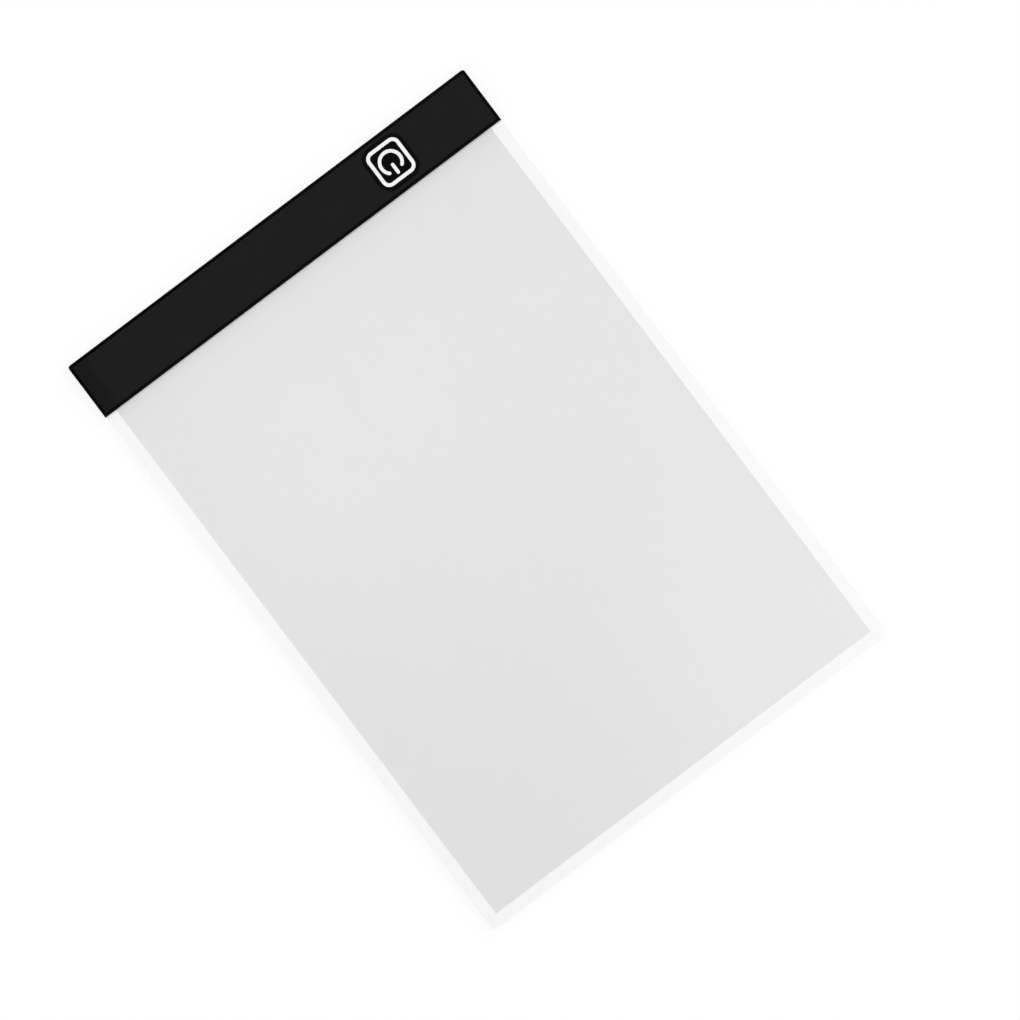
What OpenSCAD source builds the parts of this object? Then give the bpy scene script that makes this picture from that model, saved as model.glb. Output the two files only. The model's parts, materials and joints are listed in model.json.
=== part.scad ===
// Tracing light pad of A4 class: a thin edge-lit panel whose one end is held in a black bar.
// The bar is a two-piece shell that carries the light strip, the control board,
// the power socket and the power key.
// The pad lies flat: X runs along the bar, Y from the far edge towards the bar, Z up.
// The origin is on the table under the middle of the pad, and all sizes are millimetres.

/* [Overall] */
// Width of the pad, along the bar
pad_w = 235; // [215:1:260]
// Length of the pad, from its far edge to the bar's outer edge
pad_l = 335; // [280:1:390]

/* [Panel] */
// How far each side of the panel stands in from the bar's end
panel_inset = 0.5; // [0.1:0.1:0.9]
// Corner radius of the panel at its far edge
panel_corner_r = 2; // [0.5:0.5:5]
// Width of the pale border on the panel's three free sides
border_w = 5.8; // [3:0.1:10]
// Thickness of the back plate, and of the bar's floor in the same plane
base_t = 1; // [0.9:0.1:2]
// Thickness of the reflector film and of the tape round it
reflector_t = 0.2; // [0.1:0.05:0.4]
// Thickness of the light guide
guide_t = 2.4; // [2.2:0.1:4]
// Thickness of the diffuser film and of the tape round it
diffuser_t = 0.2; // [0.1:0.05:0.4]
// Thickness of the clear front panel
front_t = 0.6; // [0.3:0.1:1.2]
// Chamfer round the front panel's top edge
front_chamfer = 0.15; // [0.05:0.05:0.25]

/* [Bar] */
// Width of the bar, along the pad's length
bar_w = 30; // [29:0.5:45]
// Corner radius of the bar's outer corners, seen from above
bar_corner_r = 1.5; // [0.8:0.1:4]
// Radius along the bar's top edges
bar_edge_r = 0.6; // [0.2:0.1:1]
// Thickness of the bar's top wall
top_wall = 1.2; // [0.9:0.1:2]
// Thickness of the bar's end walls and outer wall
side_wall = 1.4; // [1.2:0.1:2]
// Chamfer round the bottom of the bar's floor
floor_chamfer = 0.3; // [0.1:0.1:0.6]
// Thickness of the light seal between the panel and the bar's top wall
seal_t = 0.2; // [0.1:0.05:0.5]
// Thickness of the floor's rim, which stands inside the bar's walls
rim_t = 0.8; // [0.6:0.1:1.2]
// Height of the floor's rim
rim_h = 1.2; // [0.8:0.1:1.6]
// Thickness of the stiffening ribs
rib_t = 0.8; // [0.6:0.1:1.2]
// Depth of the stiffening ribs under the top wall
rib_depth = 1; // [0.6:0.1:1.2]
// Number of stiffening ribs under the top wall
rib_count = 5; // [2:1:8]
// Number of snap hooks along the bar's outer wall
hook_count = 6; // [3:1:8]
// Length of a snap hook
hook_l = 6; // [3:0.5:10]
// How far a snap hook reaches into the outer wall
hook_reach = 0.4; // [0.2:0.05:0.6]

/* [Power key] */
// Distance of the key's centre from the bar's end
key_inset = 54; // [50:0.1:60]
// How far the key's centre stands off the bar's middle line, towards the outer edge
key_shift = 0.3; // [-0.5:0.1:0.8]
// Width of the key, along the bar
key_w = 22.4; // [16:0.1:24]
// Length of the key, across the bar
key_l = 23.3; // [16:0.1:24]
// Corner radius of the key
key_r = 5.9; // [2:0.1:6]
// Gap between the key and its opening
key_gap = 0.25; // [0.15:0.05:0.4]
// How far the key stands above the bar
key_proud = 0.2; // [0.1:0.05:0.5]
// Travel of the key
key_travel = 0.5; // [0.25:0.05:0.6]
// Height of the boss under the key that meets the switch
key_boss_h = 0.3; // [0.1:0.05:0.5]
// Distance between the key's two guide pins
key_pin_pitch = 11.5; // [9:0.1:14]
// Diameter of a guide pin
key_pin_d = 1.6; // [1.2:0.1:2]

/* [Light strip] */
// Distance between the light strip's packages
led_pitch = 6; // [5:0.5:12]
// Width of a package, along the strip
led_w = 4; // [2:0.1:4.4]
// Height of a package
led_h = 1.4; // [0.8:0.1:1.6]
// Depth of a package, from its face to the strip's board
led_t = 0.75; // [0.5:0.05:1]
// Thickness of the strip's board
led_board_t = 0.8; // [0.4:0.1:1]
// Thickness of a lead, over its insulation
lead_d = 0.9; // [0.6:0.1:1.2]

/* [Control board] */
// Thickness of the control board
board_t = 0.8; // [0.6:0.1:1]
// Side of the switch body
switch_w = 4.5; // [3.5:0.1:6]
// Height of the switch body
switch_h = 0.9; // [0.7:0.1:1]
// Diameter of the switch plunger
plunger_d = 2; // [1.5:0.1:2.6]

/* [Power socket] */
// Width of the socket's shell
socket_w = 7.5; // [6.5:0.1:9]
// Height of the socket's shell
socket_h = 2.45; // [2.2:0.05:2.6]
// Length of the socket's shell
socket_l = 5; // [4.5:0.1:6]
// Thickness of the socket's shell
socket_wall = 0.25; // [0.2:0.05:0.35]
// How far the socket's mouth stands back from the bar's end
socket_recess = 0.3; // [0.1:0.1:0.8]

/* [Fasteners and feet] */
// Distance of the outer screws from the bar's ends
screw_inset = 33.5; // [30:0.5:36]
// Distance of the row of screws from the bar's outer edge
screw_setback = 10; // [7:0.5:14]
// Shank diameter of a screw
screw_d = 1.7; // [1.4:0.1:2]
// Head diameter of a screw
screw_head_d = 3; // [2.8:0.1:3.4]
// Length of a screw
screw_l = 3.6; // [3:0.1:4]
// Diameter of a screw boss
boss_d = 3.8; // [3.4:0.1:4.4]
// Diameter of a foot
foot_d = 10; // [6:0.5:14]
// How far a foot stands out below the pad
foot_t = 0.8; // [0.5:0.1:1.5]
// Depth of the seat that a foot is stuck in
foot_seat = 0.3; // [0.1:0.1:0.5]
// Distance of each foot's centre from the sides of the pad
foot_inset = 14; // [10:0.5:20]

/* [Fits] */
// Gap between the light guide's tongue and each end wall of the bar
guide_side_gap = 0.3; // [0.1:0.05:0.6]
// Distance of the light strip's back from the key's opening, which keeps its light in
strip_key_gap = 0.1; // [0.05:0.05:0.5]
// Gap between the light guide's lit edge and the light strip
led_gap = 0.15; // [0.05:0.05:0.3]
// Gap between the floor's rim and the bar's walls
rim_gap = 0.1; // [0.05:0.05:0.2]
// Gap between the control board and what stands round it
board_gap = 0.3; // [0.2:0.05:0.6]
// Gap between the socket and its opening
socket_gap = 0.3; // [0.15:0.05:0.4]
// Gap round a pin in its hole
pin_gap = 0.15; // [0.1:0.05:0.3]
// Gap round a screw in its hole and seat
screw_gap = 0.05; // [0.02:0.01:0.1]
// Gap round a snap hook in its recess
hook_gap = 0.15; // [0.1:0.05:0.3]
// Gap round a foot in its seat
foot_gap = 0.1; // [0.05:0.05:0.3]
// Gap between the key's tabs and the top wall
tab_gap = 0.1; // [0.05:0.05:0.2]
// Gap round the plunger in the switch
plunger_gap = 0.1; // [0.05:0.05:0.2]
// Room that is left under a moving piece at the end of its travel
stop_gap = 0.1; // [0.05:0.05:0.2]

/* [Hidden] */
$fn = 48;

// Overshoot of a cut past the face that it opens
cut = 1;

// Plan of the pad
half_w = pad_w / 2;
far_y = -pad_l / 2;
bar_y1 = pad_l / 2;
bar_y0 = bar_y1 - bar_w;
bar_cy = (bar_y0 + bar_y1) / 2;
panel_w = pad_w - 2 * panel_inset;
window_w = panel_w - 2 * border_w;
inner_x = half_w - side_wall;
inner_y = bar_y1 - side_wall;

// Heights of the panel's layers, from the table up
base_z = foot_t;
floor_z = base_z + base_t;
guide_z = floor_z + reflector_t;
diffuser_z = guide_z + guide_t;
front_z = diffuser_z + diffuser_t;
ceiling_z = front_z + seal_t;
bar_top = ceiling_z + top_wall;
key_top = bar_top + key_proud;

// The light strip stands under the top wall, close to the key's opening, at half the light guide's height
key_x = half_w - key_inset;
key_cy = bar_cy + key_shift;
key_y0 = key_cy - key_l / 2;
led_board_y1 = key_y0 - key_gap - strip_key_gap;
led_board_y0 = led_board_y1 - led_board_t;
led_y0 = led_board_y0 - led_t;
led_z = guide_z + guide_t / 2;
led_margin = 0.1;
led_board_top = led_z + led_h / 2 + led_margin;
led_count = floor((window_w - led_w) / led_pitch) + 1;
led_pocket_rim = 0.25;
led_pocket_depth = 0.2;
led_rib_y1 = led_board_y1 + rib_t;
led_rib_drop = 0.4;

// The panel's tongue reaches into the bar as far as the light strip
guide_y1 = led_y0 - led_gap;
guide_tongue_w = 2 * (inner_x - guide_side_gap);
seal_inset = 0.1;

// The floor's rim and its snap hooks
rim_x1 = inner_x - rim_gap;
rim_x0 = rim_x1 - rim_t;
rim_y1 = inner_y - rim_gap;
rim_y0 = rim_y1 - rim_t;
rim_top = floor_z + rim_h;
hook_h = 0.6;
hook_inset = 14;
hook_step = 2 * (inner_x - hook_inset) / (hook_count - 1);
hook_xs = [for (i = [0 : hook_count - 1]) -inner_x + hook_inset + i * hook_step];

// The key's guide pins, rails and tabs
key_pin_shift = 4.2;
key_pin_z = floor_z + key_travel + stop_gap;
key_rail_t = 1;
key_rail_inset = 0.4;
key_rail_l = key_l - 2 * (key_r + key_rail_inset);
key_tab_t = 0.6;
key_tab_l = 2.6;
key_tab_reach = 1;
key_tab_z = ceiling_z - tab_gap - key_tab_t;

// Leads run from the control board, clear of the key's tabs, through a gap in the light strip's rib
lead_bend_r = 2.4;
lead_key_gap = 0.6;
lead_run = 4;
lead_pitch = 2;
lead_lift = 0.05;
lead_pad_l = 1.6;
lead_x1 = key_x - key_w / 2 - key_gap - key_tab_reach - lead_key_gap;
lead_x0 = lead_x1 - lead_run;
lead_gap_w = 2 * lead_pitch + lead_d;
lead_gap_x = lead_x0 - lead_bend_r - lead_pitch / 2;

// The control board stands at the height where the switch's plunger meets the key's boss
plunger_top = ceiling_z - key_boss_h;
switch_top = plunger_top - key_travel - stop_gap;
board_top = switch_top - switch_h;
board_z = board_top - board_t;
lead_z = board_top + lead_d / 2 + lead_lift;
plunger_floor = board_top + stop_gap;
plunger_z = plunger_floor + key_travel + stop_gap / 2;
board_x0 = lead_x1 - lead_pad_l;
board_x1 = rim_x0 - board_gap;
board_y0 = led_rib_y1 + board_gap;
board_y1 = rim_y0 - board_gap;
standoff_d = 2.6;
standoff_inset = 2.4;
standoff_pin_d = 1.2;
standoff_pin_h = 0.3;
switch_leg_w = 0.6;
switch_leg_l = 0.9;
switch_leg_t = 0.15;
switch_leg_inset = 0.75;

// Screws stand in one row, evenly spaced between the outer two
screw_count = 4;
screw_y = bar_y1 - screw_setback;
screw_head_h = (screw_head_d - screw_d) / 2;
screw_tip_h = 0.6;
screw_drive_w = 0.4;
screw_drive_l = 1.8;
screw_drive_depth = 0.35;
screw_tip_gap = 0.3;
pilot_depth = screw_l - base_t + screw_tip_gap;
screw_step = 2 * (half_w - screw_inset) / (screw_count - 1);
screw_xs = [for (i = [0 : screw_count - 1]) (i - (screw_count - 1) / 2) * screw_step];

// The power socket straddles the control board in a notch at its end
socket_x1 = half_w - socket_recess;
socket_x0 = socket_x1 - socket_l;
socket_z = (floor_z + ceiling_z) / 2;
socket_chamfer = 1;
socket_wing_l = 1.6;
socket_wing_w = 1.2;
socket_wing_inset = 0.4;
socket_back_t = 1.2;
socket_tongue_w = 3.8;
socket_tongue_t = 0.6;
socket_tongue_l = 3;
contact_count = 5;
contact_pitch = 0.65;
contact_w = 0.35;
contact_t = 0.1;
contact_l = 2.6;

// Parts on the control board, in from the socket
chip_l = 4.9;
chip_w = 3.9;
chip_h = 1.1;
chip_leg_w = 0.4;
chip_leg_l = 1;
chip_leg_t = 0.2;
chip_leg_pitch = 1.27;
chip_leg_count = 4;
chip_setback = 9;
chip_shift = -4;
passive_l = 1.6;
passive_w = 0.8;
passive_h = 0.5;
passive_count = 5;
passive_pitch = 2;
passive_shift = 6;

// Colours as the pad shows them
black_plastic = "#202020";
soft_black = "#18181a";
border_white = "#f7f7f7";
panel_grey = "#e3e3e3";
sheet_white = "#ececec";
clear_plastic = "#eef2f3";
board_green = "#1f5a3a";
led_yellow = "#f2e6a8";
lead_red = "#b3201c";
metal = "#c3c5c8";
gold = "#cfae62";

// Plan of a plate from y = 0 to y = l whose two corners at y = l are round
module round_end_plan(w, l, r) {
  translate([-w / 2, 0]) square([w, l - r]);
  translate([-w / 2 + r, 0]) square([w - 2 * r, l]);
  for (side = [-1, 1]) translate([side * (w / 2 - r), l - r]) circle(r);
}

// Plan of a centred plate with four round corners
module round_plan(w, l, r) {
  square([w - 2 * r, l], center = true);
  square([w, l - 2 * r], center = true);
  for (x = [-1, 1], y = [-1, 1]) translate([x * (w / 2 - r), y * (l / 2 - r)]) circle(r);
}

// A flat piece of a plan, from one height up
module layer(z, t) {
  translate([0, 0, z]) linear_extrude(t) children();
}

// A plan in X and Z, drawn along Y between two places
module along_y(y0, y1) {
  translate([0, y1, 0]) rotate([90, 0, 0]) linear_extrude(y1 - y0) children();
}

// A plan in Y and Z, drawn along X between two places
module along_x(x0, x1) {
  translate([x0, 0, 0]) rotate([90, 0, 90]) linear_extrude(x1 - x0) children();
}

// A block between two opposite corners
module block(low, high) {
  translate(low) cube(high - low);
}

module at_screws() {
  for (x = screw_xs) translate([x, screw_y, 0]) children();
}

module at_feet() {
  for (side = [-1, 1], y = [far_y + foot_inset, bar_cy])
    translate([side * (half_w - foot_inset), y, 0]) children();
}

module at_standoffs() {
  for (x = [board_x0 + standoff_inset, socket_x0 - standoff_inset],
       y = [board_y0 + standoff_inset, board_y1 - standoff_inset])
    translate([x, y, 0]) children();
}

module at_key() {
  translate([key_x, key_cy, 0]) children();
}

module at_key_pins() {
  at_key() for (side = [-1, 1]) translate([side * key_pin_pitch / 2, key_pin_shift, 0]) children();
}

// Plan of the whole panel, from its far edge to the bar
module panel_plan() {
  translate([0, bar_y0]) mirror([0, 1]) round_end_plan(panel_w, bar_y0 - far_y, panel_corner_r);
}

// Plan of the films, from inside the border to the light guide's lit edge
module film_plan() {
  translate([-window_w / 2, far_y + border_w]) square([window_w, guide_y1 - far_y - border_w]);
}

module border_plan() {
  difference() {
    panel_plan();
    film_plan();
  }
}

// Seats for the feet, cut up into the pad's underside
module foot_seats() {
  at_feet() translate([0, 0, base_z - cut]) cylinder(d = foot_d + 2 * foot_gap, h = foot_seat + cut);
}

module back_plate() {
  color(sheet_white) difference() {
    layer(base_z, base_t) panel_plan();
    foot_seats();
  }
}

module rear_border_tape() color(border_white) layer(floor_z, reflector_t) border_plan();

module reflector_film() color(border_white) layer(floor_z, reflector_t) film_plan();

// Clear plate with a narrower tongue that enters the bar
module light_guide() {
  color(clear_plastic) layer(guide_z, guide_t) {
    panel_plan();
    translate([-guide_tongue_w / 2, bar_y0 - cut]) square([guide_tongue_w, guide_y1 - bar_y0 + cut]);
  }
}

module diffuser_film() color(panel_grey) layer(diffuser_z, diffuser_t) film_plan();

module front_border_tape() color(border_white) layer(diffuser_z, diffuser_t) border_plan();

// Clear sheet over the films, chamfered on its three free sides
module front_panel() {
  x = panel_w / 2;
  z0 = front_z;
  z1 = front_z + front_t;
  c = front_chamfer;
  cross_plan = [[-x, z0], [x, z0], [x, z1 - c], [x - c, z1], [-x + c, z1], [-x, z1 - c]];
  long_plan = [[far_y, z0], [bar_y0, z0], [bar_y0, z1], [far_y + c, z1], [far_y, z1 - c]];
  color(clear_plastic) intersection() {
    layer(front_z, front_t) panel_plan();
    along_y(far_y - cut, bar_y0 + cut) polygon(cross_plan);
    along_x(-half_w, half_w) polygon(long_plan);
  }
}

// Black tape that closes the gap between the diffuser and the bar's top wall
module light_seal() {
  color(soft_black) layer(front_z, seal_t) translate([-window_w / 2, bar_y0 + seal_inset])
    square([window_w, guide_y1 - bar_y0 - seal_inset]);
}

module bar_plan() {
  translate([0, bar_y0]) round_end_plan(pad_w, bar_w, bar_corner_r);
}

// The bar's outer form above its floor, with rounded top edges
module bar_block() {
  height = bar_top - floor_z;
  intersection() {
    layer(floor_z, height) bar_plan();
    along_y(bar_y0 - cut, bar_y1 + cut) translate([0, floor_z - cut])
      round_end_plan(pad_w, height + cut, bar_edge_r);
    along_x(-half_w - cut, half_w + cut) translate([bar_cy, floor_z - cut])
      round_end_plan(bar_w, height + cut, bar_edge_r);
  }
}

// A rib under the top wall, from one place across the bar to the outer wall
module ceiling_rib(x, y0) {
  block([x - rib_t / 2, y0, ceiling_z - rib_depth],
        [x + rib_t / 2, inner_y + side_wall / 2, ceiling_z + top_wall / 2]);
}

// Ribs that stiffen the top wall where no control board lies below it
module ceiling_ribs() {
  step = (lead_gap_x - lead_gap_w + inner_x) / (rib_count + 1);
  for (i = [1 : rib_count]) ceiling_rib(-inner_x + i * step, led_rib_y1 + rib_t);
}

// Screw bosses, each tied to the outer wall by a rib
module screw_bosses() {
  at_screws() translate([0, 0, floor_z]) cylinder(d = boss_d, h = ceiling_z - floor_z + top_wall / 2);
  for (x = screw_xs) ceiling_rib(x, screw_y);
}

// Opening in the bar's end wall, which the floor closes from below
module socket_notch() {
  half = socket_w / 2 + socket_gap;
  block([inner_x - cut, bar_cy - half, floor_z - cut],
        [half_w + cut, bar_cy + half, socket_z + socket_h / 2 + socket_gap / 2]);
}

// Recesses in the outer wall that the snap hooks catch in
module hook_recesses() {
  half = hook_l / 2 + hook_gap;
  for (x = hook_xs)
    block([x - half, inner_y - cut, rim_top - hook_h - hook_gap],
          [x + half, rim_y1 + hook_reach + hook_gap, rim_top + hook_gap]);
}

// Upper shell of the bar: top wall, outer wall and end walls, bosses, ribs and the key's opening
module bar_front_cover() {
  color(black_plastic) difference() {
    union() {
      difference() {
        bar_block();
        block([-inner_x, bar_y0 - cut, floor_z - cut], [inner_x, inner_y, ceiling_z]);
      }
      screw_bosses();
      ceiling_ribs();
    }
    at_screws() translate([0, 0, floor_z - cut]) cylinder(d = screw_d + 2 * screw_gap, h = pilot_depth + cut);
    at_key() layer(ceiling_z - cut, top_wall + 2 * cut)
      round_plan(key_w + 2 * key_gap, key_l + 2 * key_gap, key_r + key_gap);
    socket_notch();
    hook_recesses();
  }
}

// Floor of the bar, chamfered below on its three outer sides
module bar_floor() {
  c = floor_chamfer;
  z0 = base_z;
  z1 = floor_z;
  x = half_w;
  long_plan = [[c - x, z0], [x - c, z0], [x, z0 + c], [x, z1], [-x, z1], [-x, z0 + c]];
  cross_plan = [[bar_y0, z0], [bar_y1 - c, z0], [bar_y1, z0 + c], [bar_y1, z1], [bar_y0, z1]];
  intersection() {
    layer(base_z, base_t) bar_plan();
    along_y(bar_y0 - cut, bar_y1 + cut) polygon(long_plan);
    along_x(-half_w - cut, half_w + cut) polygon(cross_plan);
  }
}

// Rim that locates the upper shell, open towards the panel and at the socket
module floor_rim() {
  half = socket_w / 2 + 2 * socket_gap;
  difference() {
    block([-rim_x1, led_board_y1, floor_z - base_t / 2], [rim_x1, rim_y1, rim_top]);
    block([-rim_x0, led_board_y1 - cut, base_z], [rim_x0, rim_y0, rim_top + cut]);
    block([rim_x0 - cut, bar_cy - half, floor_z], [rim_x1 + cut, bar_cy + half, rim_top + cut]);
  }
}

// Hooks on the rim's outer side: flat below and sloped above
module rim_hooks() {
  root = rim_y1 - rim_t / 2;
  tip = rim_y1 + hook_reach;
  profile = [[root, rim_top - hook_h], [tip, rim_top - hook_h], [rim_y1, rim_top], [root, rim_top]];
  for (x = hook_xs) along_x(x - hook_l / 2, x + hook_l / 2) polygon(profile);
}

// Rib behind the light strip, with a gap for the leads
module led_rib() {
  top = led_board_top - led_rib_drop;
  difference() {
    block([-window_w / 2, led_board_y1, floor_z - base_t / 2], [window_w / 2, led_rib_y1, top]);
    block([lead_gap_x - lead_gap_w / 2, led_board_y1 - cut, floor_z],
          [lead_gap_x + lead_gap_w / 2, led_rib_y1 + cut, top + cut]);
  }
}

// Standoffs that carry the control board, each with a locating pin
module board_standoffs() {
  z = floor_z - base_t / 2;
  at_standoffs() translate([0, 0, z]) {
    cylinder(d = standoff_d, h = board_z - z);
    cylinder(d = standoff_pin_d, h = board_top + standoff_pin_h - z);
  }
}

// Seat of a screw's head, cut up from the floor's underside
module screw_sink() {
  r = screw_head_d / 2 + screw_gap;
  h = screw_head_h;
  rotate_extrude() polygon([[0, -cut], [r, -cut], [r, 0], [r - h, h], [0, h]]);
}

// Lower shell of the bar: floor, rim with hooks, light strip's rib and standoffs
module bar_rear_cover() {
  color(black_plastic) difference() {
    union() {
      bar_floor();
      floor_rim();
      rim_hooks();
      led_rib();
      board_standoffs();
    }
    at_screws() translate([0, 0, base_z - cut]) cylinder(d = screw_d + 4 * screw_gap, h = base_t + 2 * cut);
    at_screws() translate([0, 0, base_z]) screw_sink();
    foot_seats();
  }
}

// Countersunk screw, standing head down in the floor
module cover_screw() {
  head_r = screw_head_d / 2;
  shank_r = screw_d / 2;
  tip_z = screw_l - screw_tip_h;
  difference() {
    rotate_extrude() polygon([[0, 0], [head_r, 0], [shank_r, screw_head_h], [shank_r, tip_z], [0, screw_l]]);
    for (turn = [0, 90]) rotate(turn)
      block([-screw_drive_l / 2, -screw_drive_w / 2, -cut],
            [screw_drive_l / 2, screw_drive_w / 2, screw_drive_depth]);
  }
}

module cover_screws() color(metal) at_screws() translate([0, 0, base_z]) cover_screw();

// Holes in the control board for the locating pins, the key's guide pins and the screw bosses
module board_holes() {
  at_standoffs() cylinder(d = standoff_pin_d + 2 * pin_gap, h = bar_top);
  at_key_pins() cylinder(d = key_pin_d + 2 * pin_gap, h = bar_top);
  at_screws() cylinder(d = boss_d + 2 * board_gap, h = bar_top);
}

module control_board() {
  half = (socket_w + socket_gap) / 2;
  color(board_green) difference() {
    block([board_x0, board_y0, board_z], [board_x1, board_y1, board_top]);
    board_holes();
    block([socket_x0 - socket_gap, bar_cy - half, board_z - cut],
          [board_x1 + cut, bar_cy + half, board_top + cut]);
  }
}

module at_chip() {
  translate([socket_x0 - chip_setback, bar_cy + chip_shift, board_top]) children();
}

// Driver chip with a row of legs on each long side
module driver_chip() {
  first = -(chip_leg_count - 1) / 2;
  reach = chip_w / 2 + chip_leg_l;
  color(soft_black) at_chip() {
    block([-chip_l / 2, -chip_w / 2, chip_leg_t], [chip_l / 2, chip_w / 2, chip_leg_t + chip_h]);
    for (i = [0 : chip_leg_count - 1]) translate([(first + i) * chip_leg_pitch, 0, 0])
      block([-chip_leg_w / 2, -reach, 0], [chip_leg_w / 2, reach, 2 * chip_leg_t]);
  }
}

// Row of resistors and capacitors beside the driver chip
module board_passives() {
  first = -(passive_count - 1) / 2;
  color(gold) at_chip() for (i = [0 : passive_count - 1])
    translate([(first + i) * passive_pitch, passive_shift, 0])
      block([-passive_w / 2, -passive_l / 2, 0], [passive_w / 2, passive_l / 2, passive_h]);
}

// Legs of the push switch, which lie on the board on two of its sides
module switch_legs() {
  reach = switch_w / 2 + switch_leg_l;
  y = switch_w / 2 - switch_leg_inset;
  for (side = [-1, 1]) translate([0, side * y, board_top])
    block([-reach, -switch_leg_w / 2, 0], [reach, switch_leg_w / 2, switch_leg_t]);
}

// Push switch with a bore for its plunger
module switch_body() {
  half = switch_w / 2;
  color(metal) at_key() difference() {
    union() {
      block([-half, -half, board_top], [half, half, switch_top]);
      switch_legs();
    }
    translate([0, 0, plunger_floor]) cylinder(d = plunger_d + 2 * plunger_gap, h = switch_h + cut);
  }
}

module switch_plunger() {
  color(soft_black) at_key() translate([0, 0, plunger_z])
    cylinder(d = plunger_d, h = plunger_top - plunger_z);
}

module led_board() {
  x = window_w / 2;
  color(border_white) block([-x, led_board_y0, floor_z], [x, led_board_y1, led_board_top]);
}

// One package of the light strip, with a shallow pocket in its face
module led_package() {
  x = led_w / 2;
  z = led_h / 2;
  rim = led_pocket_rim;
  difference() {
    block([-x, 0, -z], [x, led_t, z]);
    block([rim - x, -cut, rim - z], [x - rim, led_pocket_depth, z - rim]);
  }
}

module led_packages() {
  first = -(led_count - 1) / 2;
  color(led_yellow) for (i = [0 : led_count - 1])
    translate([(first + i) * led_pitch, led_y0, led_z]) led_package();
}

// A lead from the control board to the back of the light strip: straight, a quarter bend, straight
module led_lead(index) {
  y = board_y0 + standoff_inset + (index + 1) * lead_pitch;
  x0 = lead_x0 - index * lead_pitch;
  translate([x0, y, lead_z]) rotate([0, 90, 0]) cylinder(d = lead_d, h = lead_x1 - x0);
  translate([x0, y - lead_bend_r, lead_z]) rotate(90) rotate_extrude(angle = 90)
    translate([lead_bend_r, 0]) circle(d = lead_d);
  translate([x0 - lead_bend_r, y - lead_bend_r, lead_z]) rotate([90, 0, 0])
    cylinder(d = lead_d, h = y - lead_bend_r - led_board_y1);
}

module led_lead_red() color(lead_red) led_lead(0);

module led_lead_black() color(soft_black) led_lead(1);

// Mouth of the socket, drawn in by a wall: a flat form with its two lower corners cut off
module socket_plan(wall) {
  y = socket_w / 2 - wall;
  z = socket_h / 2 - wall;
  c = socket_chamfer - wall * (2 - sqrt(2));
  polygon([[-y, z], [-y, c - z], [c - y, -z], [y - c, -z], [y, c - z], [y, z]]);
}

// Folded metal shell of the socket, with a wing on each side that lies on the board
module socket_shell() {
  x0 = socket_x0 + socket_wing_inset;
  y0 = (socket_w - socket_wall) / 2;
  y1 = socket_w / 2 + socket_wing_w;
  color(metal) {
    along_x(socket_x0, socket_x1) translate([bar_cy, socket_z]) difference() {
      socket_plan(0);
      socket_plan(socket_wall);
    }
    for (side = [0, 1]) translate([0, bar_cy, 0]) mirror([0, side, 0])
      block([x0, y0, board_top], [x0 + socket_wing_l, y1, board_top + socket_wall]);
  }
}

// Insulator that closes the shell's back and carries the contacts on its tongue
module socket_tongue() {
  x1 = socket_x0 + socket_back_t;
  half = socket_tongue_w / 2;
  color(soft_black) {
    along_x(socket_x0, x1) translate([bar_cy, socket_z]) socket_plan(socket_wall);
    block([socket_x0, bar_cy - half, socket_z],
          [x1 + socket_tongue_l, bar_cy + half, socket_z + socket_tongue_t]);
  }
}

module socket_contacts() {
  first = -(contact_count - 1) / 2;
  x0 = socket_x0 + socket_back_t;
  color(gold) for (i = [0 : contact_count - 1])
    translate([x0, bar_cy + (first + i) * contact_pitch, socket_z])
      block([0, -contact_w / 2, -contact_t], [contact_l, contact_w / 2, 0]);
}

// Rails and tabs that keep the key in its opening, on the two sides along the bar
module key_rails() {
  x0 = key_w / 2 - key_rail_t;
  x1 = key_w / 2;
  half = key_rail_l / 2;
  for (side = [0, 1]) mirror([side, 0, 0]) {
    block([x0, -half, key_tab_z], [x1, half, ceiling_z + top_wall / 2]);
    for (end = [0, 1]) mirror([0, end, 0])
      block([x0, half - key_tab_l, key_tab_z], [x1 + key_gap + key_tab_reach, half, key_tab_z + key_tab_t]);
  }
}

// The key: a plate with a boss over the plunger, guide pins, rails and tabs
module power_key() {
  root = ceiling_z + top_wall / 2;
  color(black_plastic) {
    at_key() layer(ceiling_z, key_top - ceiling_z) round_plan(key_w, key_l, key_r);
    at_key() translate([0, 0, plunger_top]) cylinder(d = plunger_d, h = root - plunger_top);
    at_key_pins() translate([0, 0, key_pin_z]) cylinder(d = key_pin_d, h = root - key_pin_z);
    at_key() key_rails();
  }
}

// Feet at the pad's four corners, two under the bar and two under the far edge
module rubber_feet() {
  edge = foot_t / 4;
  color(soft_black) at_feet() {
    cylinder(d1 = foot_d - 2 * edge, d2 = foot_d, h = edge);
    translate([0, 0, edge]) cylinder(d = foot_d, h = base_z + foot_seat - edge);
  }
}

back_plate();
rear_border_tape();
reflector_film();
light_guide();
diffuser_film();
front_border_tape();
front_panel();
light_seal();
bar_rear_cover();
bar_front_cover();
control_board();
driver_chip();
board_passives();
switch_body();
switch_plunger();
led_board();
led_packages();
led_lead_red();
led_lead_black();
socket_shell();
socket_tongue();
socket_contacts();
power_key();
cover_screws();
rubber_feet();
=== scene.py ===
"""Looks of the tracing light pad: finishes, fine edges, fasteners, feet, key sign and studio.

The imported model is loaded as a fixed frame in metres: X runs along the bar towards its socket end, Y from
the panel's far edge towards the bar, and Z up out of the drawing face. A node whose shape is right keeps
its solid and gets a finish. The others are replaced by pieces with finer edges or detail, which ride on
the same body. Sizes in the classes are millimetres.
"""
import json
import logging
import math
from dataclasses import dataclass
from enum import Enum
from typing import Any, Mapping, Sequence

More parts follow.
